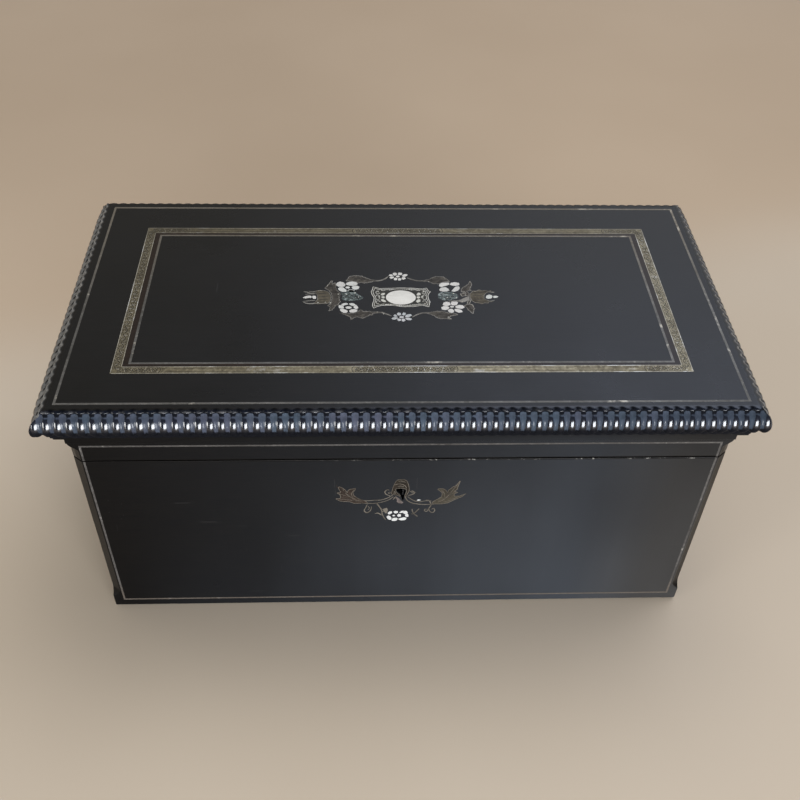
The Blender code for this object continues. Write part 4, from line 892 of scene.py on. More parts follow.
def engrave_run(place, s0, s1):
    """A running leaf scroll cut along a band from s0 to s1; place(s, t) is a point t from the band's middle."""
    n = max(1, round((s1 - s0) / 7.6))
    p = (s1 - s0) / n
    s = np.linspace(s0, s1, n * 14 + 1)
    cuts.line([place(a, 1.05 * math.sin(2 * math.pi * (a - s0) / p)) for a in s], 0.21)
    for t in (-2.28, 2.28):
        cuts.line([place(a, t) for a in (s0, (s0 + s1) / 2, s1)], 0.13)
    for k in range(n):
        for f, flip in ((0.27, 1), (0.77, -1)):
            a0 = s0 + (k + f) * p
            ring = [place(a0 + 1.15 * math.cos(q), flip * (-0.45 + 1.12 * math.sin(q))) for q in np.radians(np.linspace(-250, 40, 12))]
            cuts.line(ring, 0.19)
            x, y = place(a0, flip * -0.45)
            cuts.round(x, y, 0.40, n=8)
            for da, t, r in ((1.7, 1.62, 0.40), (-1.7, 1.55, 0.36), (0.2, 1.55, 0.30)):
                x, y = place(a0 + da, flip * t)
                cuts.round(x, y, 1.3 * r, 0.8 * r, n=8, turn=0.5 * flip)
            x, y = place(a0 + 1.9, flip * -1.5)
            lights.round(x, y, 0.42, 0.34, n=8)
            lights.line([place(a0 + 1.62 * math.cos(q), flip * (-0.45 + 1.6 * math.sin(q))) for q in np.radians(np.linspace(150, 215, 5))], 0.15)


PLAIN = 148.6                                          # the long sides are engraved beyond this and near their middle
for s in (-1, 1):
    m = by - BW / 2
    engrave_run(lambda a, t: (a, s * (m + t)), -bx + BW * 0.62, -PLAIN)
    engrave_run(lambda a, t: (a, s * (m + t)), PLAIN, bx - BW * 0.62)
    engrave_run(lambda a, t: (a, s * (m + t)), -30.3, 30.3)
    for e in (-PLAIN + 0.6, -31.2, 31.2, PLAIN - 0.6):
        bow = 0.5 if e in (-PLAIN + 0.6, 31.2) else -0.5
        cuts.line([(e + bow * (1 - (t / 2.6) ** 2) * 2, s * (m + t)) for t in np.linspace(-2.6, 2.6, 7)], 0.2)
    for t in (-1.35, 1.45):
        for x0, x1 in ((-PLAIN + 2.2, -33.4), (33.4, PLAIN - 2.2)):
            cuts.line([(x0, s * (m + t)), ((x0 + x1) / 2, s * (m + t)), (x1, s * (m + t))], 0.10)
    m2 = bx - BW / 2
    engrave_run(lambda a, t: (s * (m2 + t), a), -by + BW * 0.62, by - BW * 0.62)
cuts.make(MASTIC, "lid", "ebonised_wood")
lights.make(BAND_EDGES, "lid", "band_brass")

# ---- cartouche --------------------------------------------------------------
PETALS = {
    "flower_left_back": [[(-42.7, 10.2), (-42.2, 12.4), (-40.2, 13.7), (-38.0, 12.6), (-36.9, 10.4), (-37.6, 8.8), (-39.4, 8.3), (-41.5, 8.8)],
                         [(-36.2, 10.8), (-35.6, 12.6), (-34.0, 13.5), (-32.0, 13.8), (-29.7, 13.0), (-28.8, 11.4), (-29.7, 10.0), (-31.9, 9.5), (-34.2, 9.9)],
                         [(-32.5, 7.9), (-31.1, 8.9), (-28.8, 9.2), (-27.6, 8.2), (-28.0, 6.4), (-29.7, 5.3), (-31.5, 5.8)],
                         [(-35.2, 3.8), (-34.2, 5.2), (-32.4, 5.2), (-30.8, 4.6), (-31.4, 3.0), (-33.4, 2.5)],
                         [(-41.4, 6.4), (-40.0, 7.7), (-38.2, 7.3), (-36.9, 5.7), (-35.9, 4.4), (-36.5, 3.0), (-39.0, 3.2), (-40.7, 4.5)]],
    "flower_left_front": [[(-39.3, -10.9), (-37.8, -9.3), (-35.6, -9.1), (-34.9, -10.4), (-36.7, -11.0), (-38.0, -11.9)],
                          [(-34.1, -9.6), (-31.9, -9.2), (-30.1, -10.5), (-31.0, -11.9), (-32.3, -11.8), (-33.6, -10.8)],
                          [(-31.1, -12.5), (-29.6, -11.0), (-28.9, -12.3), (-28.2, -14.3), (-29.7, -15.1), (-31.0, -14.1)],
                          [(-34.0, -17.2), (-32.8, -15.8), (-31.0, -15.4), (-28.8, -16.2), (-29.5, -17.9), (-31.5, -18.8), (-33.2, -18.6)],
                          [(-40.1, -15.7), (-38.4, -15.1), (-36.9, -15.8), (-35.1, -17.1), (-35.8, -18.9), (-37.7, -18.9), (-39.2, -17.6)],
                          [(-40.9, -11.4), (-39.3, -11.5), (-37.9, -12.6), (-37.5, -13.9), (-38.8, -14.7), (-40.6, -14.1)]],
    "flower_right_back": [[(26.0, 9.0), (26.3, 11.2), (28.1, 12.4), (32.2, 12.7), (32.5, 10.7), (29.9, 9.4), (27.4, 8.3)],
                          [(33.3, 10.7), (34.0, 12.4), (36.7, 13.1), (39.1, 12.4), (39.3, 10.3), (36.9, 9.4), (34.7, 9.8)],
                          [(25.9, 5.4), (27.2, 7.1), (29.8, 7.6), (31.4, 6.1), (32.1, 4.4), (30.2, 3.3), (27.6, 3.4), (26.1, 4.1)],
                          [(33.8, 3.8), (35.1, 5.7), (36.6, 8.1), (38.8, 8.5), (39.3, 6.4), (37.9, 4.3), (35.6, 3.1)]],
    "flower_right_front": [[(27.1, -11.0), (27.7, -8.8), (29.9, -7.8), (31.6, -8.8), (31.9, -11.0), (30.1, -11.8), (28.4, -11.8)],
                           [(32.4, -9.6), (33.2, -7.5), (35.7, -7.4), (37.0, -8.6), (35.9, -11.0), (34.1, -11.6), (32.9, -11.2)],
                           [(35.4, -12.4), (37.6, -11.2), (39.8, -11.6), (40.9, -13.5), (39.1, -15.0), (36.9, -14.6), (35.3, -13.8)],
                           [(34.7, -15.3), (36.4, -15.3), (38.6, -16.5), (39.2, -18.3), (37.0, -19.0), (35.3, -18.0), (34.3, -16.6)],
                           [(30.5, -15.9), (32.5, -15.2), (33.6, -16.6), (33.7, -18.3), (32.2, -19.1), (30.7, -18.4), (30.0, -17.2)],
                           [(26.0, -13.8), (27.4, -12.4), (30.0, -12.6), (31.0, -14.0), (29.8, -15.7), (27.9, -16.3), (26.3, -15.5)]],
    "daisy_back": [[(-4.4, 21.2), (-4.8, 23.0), (-3.4, 23.9), (-2.1, 23.0), (-2.3, 21.3), (-3.5, 20.6)],
                   [(-1.4, 21.8), (-0.8, 23.8), (1.4, 23.6), (1.4, 21.8), (0.1, 21.0)],
                   [(1.6, 20.6), (2.9, 22.1), (4.8, 22.1), (4.9, 20.6), (3.2, 19.5), (2.0, 19.5)],
                   [(1.5, 18.6), (3.2, 18.7), (3.7, 17.1), (2.1, 16.1), (1.0, 17.1)],
                   [(-1.3, 17.1), (0.0, 17.9), (0.8, 16.4), (-0.1, 15.2), (-1.5, 15.5)],
                   [(-4.2, 17.6), (-2.7, 18.2), (-1.8, 17.0), (-2.5, 15.6), (-4.1, 15.8)],
                   [(-7.2, 18.1), (-6.3, 19.3), (-4.3, 19.4), (-4.2, 18.4), (-5.7, 17.3)],
                   [(-7.5, 20.4), (-6.8, 22.0), (-5.3, 21.8), (-4.6, 20.4), (-6.3, 19.8)]],
    "daisy_front": [[(-3.4, -20.6), (-2.5, -19.0), (-0.8, -19.5), (-0.7, -21.1), (-1.9, -22.0)],
                    [(0.1, -20.9), (0.8, -19.0), (2.3, -19.2), (2.2, -20.9), (1.1, -21.9)],
                    [(2.0, -22.6), (3.1, -21.0), (5.4, -20.6), (6.2, -22.0), (4.3, -23.3), (2.6, -23.5)],
                    [(1.9, -24.4), (4.2, -24.1), (6.1, -25.4), (5.0, -26.7), (2.9, -26.2)],
                    [(-0.2, -25.2), (1.0, -25.0), (2.0, -26.7), (0.8, -28.0), (-0.4, -27.4)],
                    [(-3.2, -26.3), (-2.4, -25.0), (-0.9, -25.5), (-1.0, -27.1), (-2.3, -27.4)],
                    [(-6.8, -24.7), (-5.2, -23.7), (-3.1, -24.0), (-3.0, -24.9), (-4.9, -26.0), (-6.3, -25.7)],
                    [(-5.6, -22.2), (-4.7, -20.7), (-3.4, -21.8), (-3.1, -22.9), (-4.5, -23.2)]]}
# an eye's centre and half sizes
EYES = {"flower_left_back": (-35.2, 7.55, 1.5, 1.15), "flower_left_front": (-34.5, -13.7, 2.0, 1.25), "flower_right_front": (32.9, -12.95, 1.35, 0.9),
        "daisy_back": (-1.5, 19.6, 1.25, 1.0), "daisy_front": (-0.4, -23.5, 1.5, 1.1)}


def eased(points, grow=1.0):
    """An outline whose corners are softened a little, grown about its middle."""
    p = np.asarray(points, float)
    p = p.mean(0) + (p - p.mean(0)) * grow
    q = 0.5 * (p + np.roll(p, -1, 0))
    out = []
    for i in range(len(p)):
        out += [q[i - 1] * 0.25 + p[i] * 0.75, q[i] * 0.25 + p[i] * 0.75]
    return np.array(out)


def clear(p, cx, cy, rx, ry):
    """Points of an outline pushed off an ellipse."""
    d = (p - (cx, cy)) / (rx, ry)
    r = np.maximum(np.hypot(d[:, 0], d[:, 1]), 1e-6)
    return np.where((r < 1)[:, None], (cx, cy) + d / r[:, None] * (rx, ry), p)


for name, petals in PETALS.items():
    r = Relief("pearl_" + name, *LID_IN)
    for p in petals:
        p = eased(p, 1.10)
        if name in EYES:
            cx, cy, rx, ry = EYES[name]
            p = clear(p, cx, cy, rx + 0.85, ry + 0.75)
        r.shape(p)
    if name in EYES:
        cx, cy, rx, ry = EYES[name]
        r.round(cx, cy, rx, ry, 16)
    r.make(GREY_PEARL if name == "daisy_front" else PEARL, "lid", "pearl", name)

TIPS = {"left": [[(-64.6, -3.4), (-63.0, -2.0), (-61.0, -1.2), (-59.2, -1.4), (-58.6, -2.6), (-59.4, -3.7), (-61.0, -3.6), (-62.8, -4.2)],
                 [(-58.2, -1.2), (-56.3, -1.5), (-55.7, -3.0), (-56.0, -4.7), (-57.6, -4.5), (-58.4, -3.2)]],
        "right": [[(55.8, -3.8), (56.5, -1.3), (58.6, -0.1), (60.1, -1.0), (60.4, -2.4), (59.8, -3.9), (57.7, -4.7)], [(60.9, -1.7), (62.6, -1.3), (64.6, -2.4), (62.6, -3.7), (61.0, -3.6)]]}
SHELLS = {"left": [(-39.9, 2.4), (-36.8, 1.4), (-34.0, 5.0), (-31.4, 4.6), (-29.0, 1.0), (-26.7, -1.4), (-24.6, -3.4), (-26.6, -5.6), (-29.6, -6.1), (-33.7, -6.6), (-36.7, -6.8), (-39.2, -5.0), (-38.6, -1.6)],
          "right": [(25.0, 1.4), (27.9, 2.9), (33.8, 2.6), (37.0, 0.4), (38.2, -1.6), (37.1, -4.1), (32.6, -6.2), (27.6, -6.4), (24.6, -4.1), (24.4, -1.0)]}
BUDS = {"left": [(-56.6, 4.0), (-53.0, 4.6), (-50.5, 4.4), (-47.4, 2.6), (-45.9, -1.6), (-46.1, -6.6), (-47.6, -9.7), (-51.0, -9.8), (-54.5, -10.1), (-57.0, -9.6), (-56.2, -7.4),
                 (-55.0, -5.2), (-55.2, -1.0), (-56.4, 1.4)],
        "right": [(45.4, 0.6), (47.8, 4.1), (49.4, 3.6), (50.9, 4.4), (52.3, 5.3), (54.0, 4.2), (56.4, 4.6), (57.8, 3.7), (60.6, 4.3), (59.4, 2.6), (57.4, 2.0), (56.2, 0.6), (55.3, -0.8),
                  (54.9, -4.4), (56.4, -5.8), (58.4, -6.6), (60.4, -7.8), (57.6, -8.2), (57.0, -9.6), (54.6, -9.2), (52.8, -10.4), (50.7, -9.3), (47.9, -8.8), (45.8, -6.1), (45.1, -2.6)]}
# the fine points that run out of the buds: x, y, half width
WISPS = [[(-55.8, 3.4, 0.5), (-58.4, 2.8, 0.45), (-60.6, 3.4, 0.3)], [(-56.2, 1.2, 0.4), (-59.4, 1.2, 0.5), (-62.2, 2.6, 0.4), (-64.2, 3.0, 0.2)], [(-57.0, 0.4, 0.25), (-60.4, 0.6, 0.3), (-63.0, 0.2, 0.15)],
         [(-56.0, -9.2, 0.5), (-59.4, -9.7, 0.45), (-62.4, -9.0, 0.35), (-64.3, -7.5, 0.2)], [(-56.2, -6.4, 0.25), (-59.8, -6.6, 0.3), (-63.6, -7.2, 0.2)],
         [(57.4, 3.0, 0.3), (60.4, 2.4, 0.3), (62.2, 2.4, 0.15)], [(57.4, -7.0, 0.3), (60.0, -6.8, 0.3), (61.4, -6.2, 0.15)]]
LEAVES = [
    [(-50.6, 6.5), (-48.8, 9.6), (-46.2, 14.9), (-44.9, 15.0), (-45.7, 11.2), (-43.5, 12.9), (-42.9, 9.0), (-42.6, 6.0), (-41.2, 3.2), (-39.9, 0.9), (-40.6, -4.1), (-39.8, -7.6), (-41.0, -11.0),
     (-43.0, -11.8), (-44.7, -16.1), (-47.3, -17.5), (-46.4, -13.4), (-48.3, -11.7), (-46.2, -9.0), (-45.6, -4.4), (-46.0, 1.0), (-48.0, 4.6)],
    [(-36.8, 14.4), (-34.0, 19.8), (-30.6, 20.7), (-26.1, 20.3), (-22.7, 18.1), (-18.6, 15.6), (-18.6, 13.6), (-21.8, 12.5), (-24.0, 11.9), (-26.5, 13.0), (-29.0, 11.6), (-32.4, 14.3)],
    [(-40.8, -19.4), (-36.6, -21.4), (-33.2, -23.8), (-33.5, -27.2), (-31.0, -24.3), (-29.1, -23.3), (-25.1, -25.2), (-23.1, -23.5), (-21.5, -21.9), (-18.9, -21.0), (-18.9, -18.6), (-21.0, -17.5),
     (-24.5, -17.6), (-27.0, -15.4), (-28.4, -17.6), (-32.0, -19.3), (-37.0, -19.4)],
    [(39.6, 3.4), (41.1, 7.0), (43.2, 9.4), (45.2, 11.1), (47.2, 14.8), (48.0, 12.0), (47.4, 9.0), (46.0, 5.5), (47.0, 4.2), (44.4, 3.4), (42.0, 2.6)],
    [(39.0, 0.6), (41.0, 1.8), (45.4, 1.4), (44.4, -1.2), (40.4, -2.3)],
    [(40.9, -11.3), (43.4, -10.4), (46.3, -10.1), (47.6, -14.6), (46.2, -20.8), (43.4, -17.0), (41.8, -13.6)],
    [(20.6, 17.6), (24.2, 19.7), (29.6, 19.2), (33.4, 14.0), (30.0, 13.4), (25.9, 11.4), (22.6, 11.3), (19.4, 13.2), (18.6, 15.0)],
    [(18.6, -18.2), (22.0, -17.4), (25.6, -17.4), (29.6, -18.9), (34.9, -19.8), (36.4, -21.4), (32.6, -22.2), (30.4, -23.6), (31.5, -26.0), (28.9, -25.3), (24.0, -25.3), (20.9, -23.0), (18.4, -20.6)]]
# straps between the leaves and the daisies: x, y, half width
STRAPS = [[(-21.5, 15.6, 1.3), (-18.5, 15.0, 0.9), (-14.6, 14.9, 0.6), (-11.9, 15.8, 0.5), (-10.2, 17.0, 0.5), (-8.1, 19.4, 0.35)],
          [(4.9, 18.0, 0.35), (7.0, 16.7, 0.5), (9.4, 15.6, 0.55), (12.0, 14.8, 0.6), (15.4, 14.7, 0.7), (19.2, 15.2, 1.2), (22.0, 15.8, 1.5)],
          [(-21.6, -19.6, 1.5), (-17.1, -18.9, 0.8), (-13.6, -18.8, 0.6), (-10.7, -20.0, 0.55), (-8.4, -21.4, 0.45), (-6.9, -22.4, 0.3)],
          [(6.6, -23.6, 0.3), (8.4, -22.0, 0.45), (10.9, -20.3, 0.55), (14.0, -19.3, 0.6), (17.0, -19.4, 0.8), (20.4, -20.4, 1.6)],
          [(-44.0, 5.2, 0.7), (-42.4, 0.6, 1.3), (-42.6, -4.4, 1.4), (-43.4, -8.6, 0.9)],
          [(41.4, 4.6, 0.5), (43.4, 2.4, 0.9), (45.0, -1.0, 1.2), (45.0, -5.4, 1.2), (43.8, -9.6, 0.9)]]
PALE_SCROLL = [(30.4, -7.0), (34.0, -6.5), (38.4, -6.0), (41.4, -3.8), (44.6, -2.0), (45.2, -4.0), (44.4, -6.0), (42.4, -7.4), (39.6, -8.6), (38.0, -7.6), (34.0, -7.6)]


def f_petals(x, y, grown=0.0):
    """Inside any flower, with the black left round it."""
    d = np.full_like(x, 1e3)
    for petals in PETALS.values():
        for p in petals:
            q = np.array(p)
            near = np.hypot(x - q[:, 0].mean(), y - q[:, 1].mean()) < 9
            if near.any():
                d[near] = np.minimum(d[near], f_poly(x[near], y[near], p))
    for cx, cy, rx, ry in EYES.values():
        d = np.minimum(d, f_disc(x, y, cx, cy, rx + 1.1, ry + 1.1))
    return d


def f_leaves(x, y):
    d = np.full_like(x, 1e3)
    for p in LEAVES:
        d = np.minimum(d, f_poly(x, y, p))
    d = d + 0.32 * np.sin(2.3 * x + 1.4 * np.sin(1.9 * y)) * np.sin(2.6 * y + 1.1 * np.sin(2.1 * x)) + 0.10 * np.sin(5.3 * x + 2.0 * y)      # ragged, hand-sawn edges
    for s in STRAPS:
        d = np.minimum(d, f_stroke(x, y, s))
    off = np.minimum(f_petals(x, y) - 0.42, np.minimum(f_poly(x, y, SHELLS["left"]), f_poly(x, y, SHELLS["right"])) - 0.25)
    for b in BUDS.values():
        off = np.minimum(off, f_poly(x, y, b) - 0.22)
    off = np.minimum(off, f_poly(x, y, PALE_SCROLL) - 0.2)
    return np.maximum(d, -off)


def f_side(field, s):
    return lambda x, y: np.maximum(field(x, y), 0.02 - s * x)


rims = Relief("foliage_rims", *LID_ON)
veins = Relief("foliage_veins", *LID_ON)
for s, side in ((-1, "left"), (1, "right")):
    win = (0, -30, 67, 24) if s > 0 else (-67, -30, 0, 24)
    put_on(shade(plate("spray_" + side, trace(f_side(f_leaves, s), win, step=0.17), *LID_IN), weighted=False), FOLIAGE, "lid", "foliage_brass",
           "foliage_" + side)
    for loop in trace(lambda x, y: f_side(f_leaves, s)(x, y) + 0.22, win, step=0.17, least=0.5):
        rims.line(loop, 0.19, closed=True)
    bud = Relief("bud_" + side, *LID_IN).shape(eased(BUDS[side]))
    bud.make(BUD_BRASS, "lid", "foliage_brass")
    for loop in trace(lambda x, y: f_poly(x, y, BUDS[side]) + 0.3, win, step=0.2):
        rims.line(loop, 0.16, closed=True)
    tip = Relief("bud_tip_" + side, *LID_IN)
    for p in TIPS[side]:
        tip.shape(eased(p))
    tip.make(PEARL, "lid", "pearl")
    Relief("shell_" + side, *LID_IN).shape(eased(SHELLS[side])).make(SHELL, "lid", "green_shell", "green_shell_" + side)
for w in WISPS:
    rims.line(w, per=4)
Relief("pale_scroll", *LID_IN).shape(eased(PALE_SCROLL)).make(RIMS, "lid", "foliage_brass")

for line in ([(-47.6, 1.6), (-51.6, 0.8), (-56.4, 1.8), (-60.4, 2.4)], [(-46.6, -1.6), (-50.4, -2.2), (-54.0, -2.6)], [(-47.0, -7.6), (-51.4, -8.0), (-56.4, -8.0), (-61.0, -8.2)],
             [(-46.8, -5.0), (-50.6, -5.2), (-54.2, -5.4)], [(46.8, 1.6), (50.2, 2.2), (54.2, 2.4), (58.6, 3.0)], [(46.6, -1.4), (50.0, -1.2), (53.8, -1.0)],
             [(46.8, -5.0), (50.0, -5.2), (53.8, -5.2)], [(47.6, -7.4), (50.8, -7.8), (55.0, -8.2), (58.4, -8.0)],
             [(-20.6, 15.2), (-25.0, 16.6), (-29.0, 17.6), (-32.6, 18.2)], [(-26.0, 16.8), (-28.0, 14.6)], [(-24.0, 16.2), (-25.6, 18.8)],
             [(-20.6, -19.4), (-25.0, -20.0), (-30.0, -21.2), (-35.0, -20.8)], [(-26.0, -20.2), (-28.0, -22.4)], [(-24.6, -20.0), (-26.8, -17.8)],
             [(20.4, 15.8), (24.6, 15.8), (28.4, 15.4), (31.4, 14.8)], [(24.6, 15.8), (26.4, 17.8)], [(26.0, 15.6), (27.0, 13.4)],
             [(20.6, -20.2), (25.0, -21.0), (29.0, -21.2), (33.4, -21.0)], [(25.6, -21.0), (26.8, -23.6)], [(24.6, -20.8), (26.4, -18.8)],
             [(-44.4, 3.0), (-45.4, 7.0), (-46.0, 12.0)], [(-42.4, 5.0), (-43.6, 9.6)], [(-43.0, -5.4), (-45.6, -11.6), (-46.4, -15.6)], [(-41.6, -5.0), (-42.4, -10.2)],
             [(41.6, 4.4), (44.0, 7.6), (46.6, 11.6)], [(43.0, -11.4), (44.8, -15.0), (45.8, -19.0)]):
    veins.line([(a, b, 0.24 if 0 < i < len(line) - 1 else 0.10) for i, (a, b) in enumerate(line)], per=4)
# strokes where the green shell is cut
for line in ([(-38.6, 0.8), (-36.0, -1.2), (-34.0, 0.6), (-34.8, 2.6)], [(-33.0, -1.4), (-30.6, -0.2), (-29.6, -2.2), (-31.4, -3.6)], [(-38.0, -3.8), (-34.6, -3.0), (-31.0, -4.6), (-27.6, -4.4)],
             [(26.0, -0.4), (29.0, 1.2), (33.0, 0.8)], [(27.0, -3.2), (31.0, -2.0), (35.6, -2.6)], [(29.0, -5.0), (33.0, -4.4)]):
    veins.line([(a, b, 0.2) for a, b in line], per=4)
rims.make(RIMS, "lid", "foliage_brass")
veins.make(MASTIC, "lid", "ebonised_wood")

specks = Relief("pearl_specks", *LID_ON)
for x, y, r in ((-54.4, -8.5, 0.55), (-49.6, -8.0, 0.55), (-46.2, -8.8, 0.6), (-41.4, 0.4, 0.5), (-40.6, -2.6, 0.45), (29.8, -23.7, 0.55), (31.1, -25.3, 0.55), (-12.0, -20.2, 0.45),
                (-36.0, 0.2, 0.5), (-30.4, 1.6, 0.6), (-28.0, -2.8, 0.45), (27.6, 0.6, 0.4), (34.8, 1.0, 0.5), (30.4, -3.4, 0.5), (36.4, -3.6, 0.5), (42.6, -0.6, 0.4)):
    specks.round(x, y, r, 0.8 * r, 8)
specks.make(FLECK, "lid", "pearl")

# ---- plaque -----------------------------------------------------------------
PLAQUE = [(-18.6, 8.8), (-17.6, 8.2), (-14.0, 6.6), (-6.7, 6.9), (1.4, 7.4), (8.3, 6.9), (14.6, 6.1), (17.4, 7.3), (18.0, 5.2), (18.7, 3.5), (20.2, 3.3), (18.6, 0.8), (18.0, -1.6), (18.2, -4.8),
          (19.0, -7.6), (18.5, -10.6), (17.9, -13.4), (13.7, -11.7), (7.5, -13.1), (0.7, -13.1), (-6.0, -11.7), (-12.4, -11.7), (-16.0, -13.0), (-18.4, -15.0), (-19.2, -12.0), (-19.1, -9.6),
          (-18.2, -6.4), (-18.1, -3.4), (-19.3, -0.4), (-19.9, 2.9), (-18.9, 5.6)]
OVAL = (-0.2, -3.15, 9.8, 7.5)
put_on(shade(plate("plaque", trace(lambda x, y: np.maximum(f_poly(x, y, PLAQUE), -(f_disc(x, y, *OVAL) - 0.12)), (-22, -17, 22, 11), step=0.15), *LID_IN), weighted=False),
       PLAQUE_METAL, "lid", "plaque_metal", "cartouche_plaque")
a = np.linspace(0, 2 * math.pi, 72, endpoint=False)
Relief("plaque_oval", *LID_IN).shape(np.column_stack((OVAL[0] + OVAL[2] * np.cos(a), OVAL[1] + OVAL[3] * np.sin(a)))).make(
    OVAL_PEARL, "lid", "pearl", "cartouche_oval")
lines = Relief("plaque_lines", *LID_ON)
for loop in trace(lambda x, y: f_poly(x, y, PLAQUE) + 0.28, (-22, -17, 22, 11), step=0.2):
    lines.line(loop, 0.22, closed=True)
for loop in trace(lambda x, y: f_poly(x, y, PLAQUE) + 1.4, (-22, -17, 22, 11), step=0.2):
    lines.line(loop, 0.18, closed=True)
for s in (-1, 1):
    for t in (-1, 1):
        c = np.array([s * 15.2, -3.0 + t * 5.2])
        lines.line([(c[0] + 1.35 * math.cos(q) * s, c[1] + 1.5 * math.sin(q) * t) for q in np.radians(np.linspace(-160, 110, 12))], 0.19)
        lines.line([(s * 13.9, -3.0 + t * 1.2), (s * 15.6, -3.0 + t * 2.6), (s * 16.8, -3.0 + t * 1.0)], 0.17, per=4)
        lines.line([(s * 10.2, -3.0 + t * 7.6), (s * 12.0, -3.0 + t * 7.0), (s * 13.2, -3.0 + t * 8.0)], 0.17, per=4)
# a row of little scrolls over and under the oval
for k in range(-7, 8):
    x = k * 1.45
    dy = OVAL[3] * math.sqrt(max(0.0, 1 - (x / 10.4) ** 2)) if abs(x) < 10.3 else 0.0
    for t, edge_y in ((1, 6.9), (-1, -12.6)):
        y = (edge_y + OVAL[1] + t * dy) / 2 if abs(x) < 8 else edge_y - t * 1.9
        lines.line([(x - 0.5, y - 0.35 * t), (x - 0.1, y + 0.45 * t), (x + 0.45, y - 0.1 * t)], 0.16, per=3)
lines.make(PLAQUE_LINES, "lid", "plaque_metal")
flecks = Relief("plaque_flecks", *LID_ON)
for p in ([(-13.4, 0.4), (-12.2, 1.5), (-10.6, 1.6), (-10.6, 0.2), (-11.7, -1.0), (-13.0, -1.0)], [(-13.0, -2.2), (-11.4, -1.7), (-10.6, -3.0), (-11.4, -4.3), (-12.8, -3.9)],
          [(-13.5, -5.4), (-12.0, -5.0), (-10.6, -6.2), (-9.9, -7.7), (-11.2, -8.2), (-12.8, -7.2)], [(10.4, 0.3), (11.4, 1.9), (12.8, 1.6), (13.0, -0.4), (11.5, -1.3), (10.3, -1.0)],
          [(10.3, -2.4), (11.9, -1.9), (12.7, -3.3), (11.4, -4.5), (10.3, -3.9)], [(10.0, -6.3), (11.2, -5.0), (12.7, -5.6), (12.3, -7.9), (10.6, -8.7), (9.6, -7.7)],
          [(13.3, -1.6), (15.0, -2.6), (13.4, -3.9)], [(-15.4, -2.4), (-13.9, -1.9), (-13.9, -3.9)], [(14.0, 2.6), (15.2, 3.6), (15.6, 2.2)], [(-15.8, 3.4), (-14.6, 3.8), (-14.8, 2.2)]):
    flecks.shape(p)
flecks.make(FLECK, "lid", "pearl")

# ---- front stringing and keyhole ornament -------------------------------------
FRONT_IN = (HALF_Y - INLAY, HALF_Y + PROUD)
FRONT_ON = (HALF_Y - INLAY, HALF_Y + PROUD + 0.014)


def u_line(x, z_open, z_closed, width):
    s = math.copysign(1.0, z_closed - z_open)
    return np.array([(-x, z_open), (-x, z_closed), (x, z_closed), (x, z_open), (x - width, z_open),
                     (x - width, z_closed - s * width), (-x + width, z_closed - s * width), (-x + width, z_open)])


put_on(shade(plate("front_line", [u_line(FRONT_LINE_X, BODY_TOP - 0.1, FRONT_LINE_BOTTOM, STRING)], *FRONT_IN, face="front")),
       FRONT_STRINGING, "root", "stringing_brass", "body_front_stringing")
put_on(shade(plate("rail_line", [u_line(FRONT_LINE_X, LID_BOTTOM + 0.1, RAIL_LINE_TOP, STRING)], *FRONT_IN, face="front")),
       FRONT_STRINGING, "lid", "stringing_brass", "lid_front_stringing")

KEYHOLE = [(-4.5, 125.4), (-4.0, 126.1), (-1.7, 126.5), (0.6, 126.2), (1.7, 125.2), (1.8, 123.4), (1.3, 121.2), (0.8, 119.2), (0.75, 116.4), (0.6, 115.0), (-0.4, 115.0),
           (-0.8, 117.0), (-1.2, 118.6), (-1.7, 120.4), (-2.6, 121.6), (-3.8, 123.0)]


def f_keyhole(x, z):
    return f_poly(x, z, KEYHOLE)


LEAF_LEFT = [(-42.8, 131.2), (-42.3, 127.6), (-40.8, 129.1), (-38.8, 127.8), (-36.8, 125.6), (-35.9, 123.3), (-35.4, 125.1), (-34.3, 126.4), (-32.5, 126.9), (-30.1, 127.2), (-30.6, 125.5),
             (-32.0, 123.3), (-31.6, 120.2), (-29.2, 117.6), (-26.6, 115.8), (-23.6, 114.2), (-22.6, 112.3), (-26.9, 111.9), (-31.5, 112.0), (-35.0, 113.8), (-38.2, 113.9), (-41.0, 114.5),
             (-43.9, 117.2), (-40.7, 117.4), (-40.3, 119.0), (-40.8, 121.0), (-43.0, 122.8), (-40.3, 123.4)]
LEAF_RIGHT = [(19.1, 113.0), (22.0, 115.4), (25.0, 118.0), (25.1, 122.0), (22.0, 125.3), (22.6, 126.3), (25.5, 126.3), (27.6, 124.9), (28.7, 122.6), (29.2, 124.8), (31.6, 127.6), (33.8, 129.2),
              (35.9, 133.6), (36.5, 133.2), (35.3, 127.8), (35.3, 125.5), (33.5, 123.4), (35.9, 122.2), (33.4, 120.6), (33.4, 118.8), (35.9, 118.8), (38.3, 119.7), (40.9, 121.4), (41.0, 120.8),
              (38.4, 117.7), (33.9, 114.9), (29.4, 111.5), (24.8, 110.6), (19.6, 110.7)]
ARCH = [(-7.7, 121.0), (-7.4, 124.0), (-6.7, 127.8), (-5.9, 131.0), (-4.8, 133.9), (-3.2, 135.3), (-1.2, 135.6), (0.8, 135.3), (2.4, 134.0), (3.5, 130.6), (4.1, 126.6), (4.0, 123.4), (3.0, 121.0),
        (2.6, 118.6), (1.2, 118.6), (-1.4, 118.4), (-4.0, 120.0), (-6.0, 120.2)]
PETAL = [(-4.1, 118.4), (-2.6, 117.0), (-1.2, 114.9), (0.6, 112.5), (-0.6, 111.6), (-2.8, 112.0), (-3.9, 113.6), (-3.6, 115.2), (-4.6, 117.0)]
TWIG_LEAF = [(-13.1, 105.9), (-11.5, 106.9), (-10.2, 107.5), (-9.5, 105.3), (-9.8, 102.8), (-10.7, 101.4), (-11.7, 103.1), (-12.4, 104.3)]
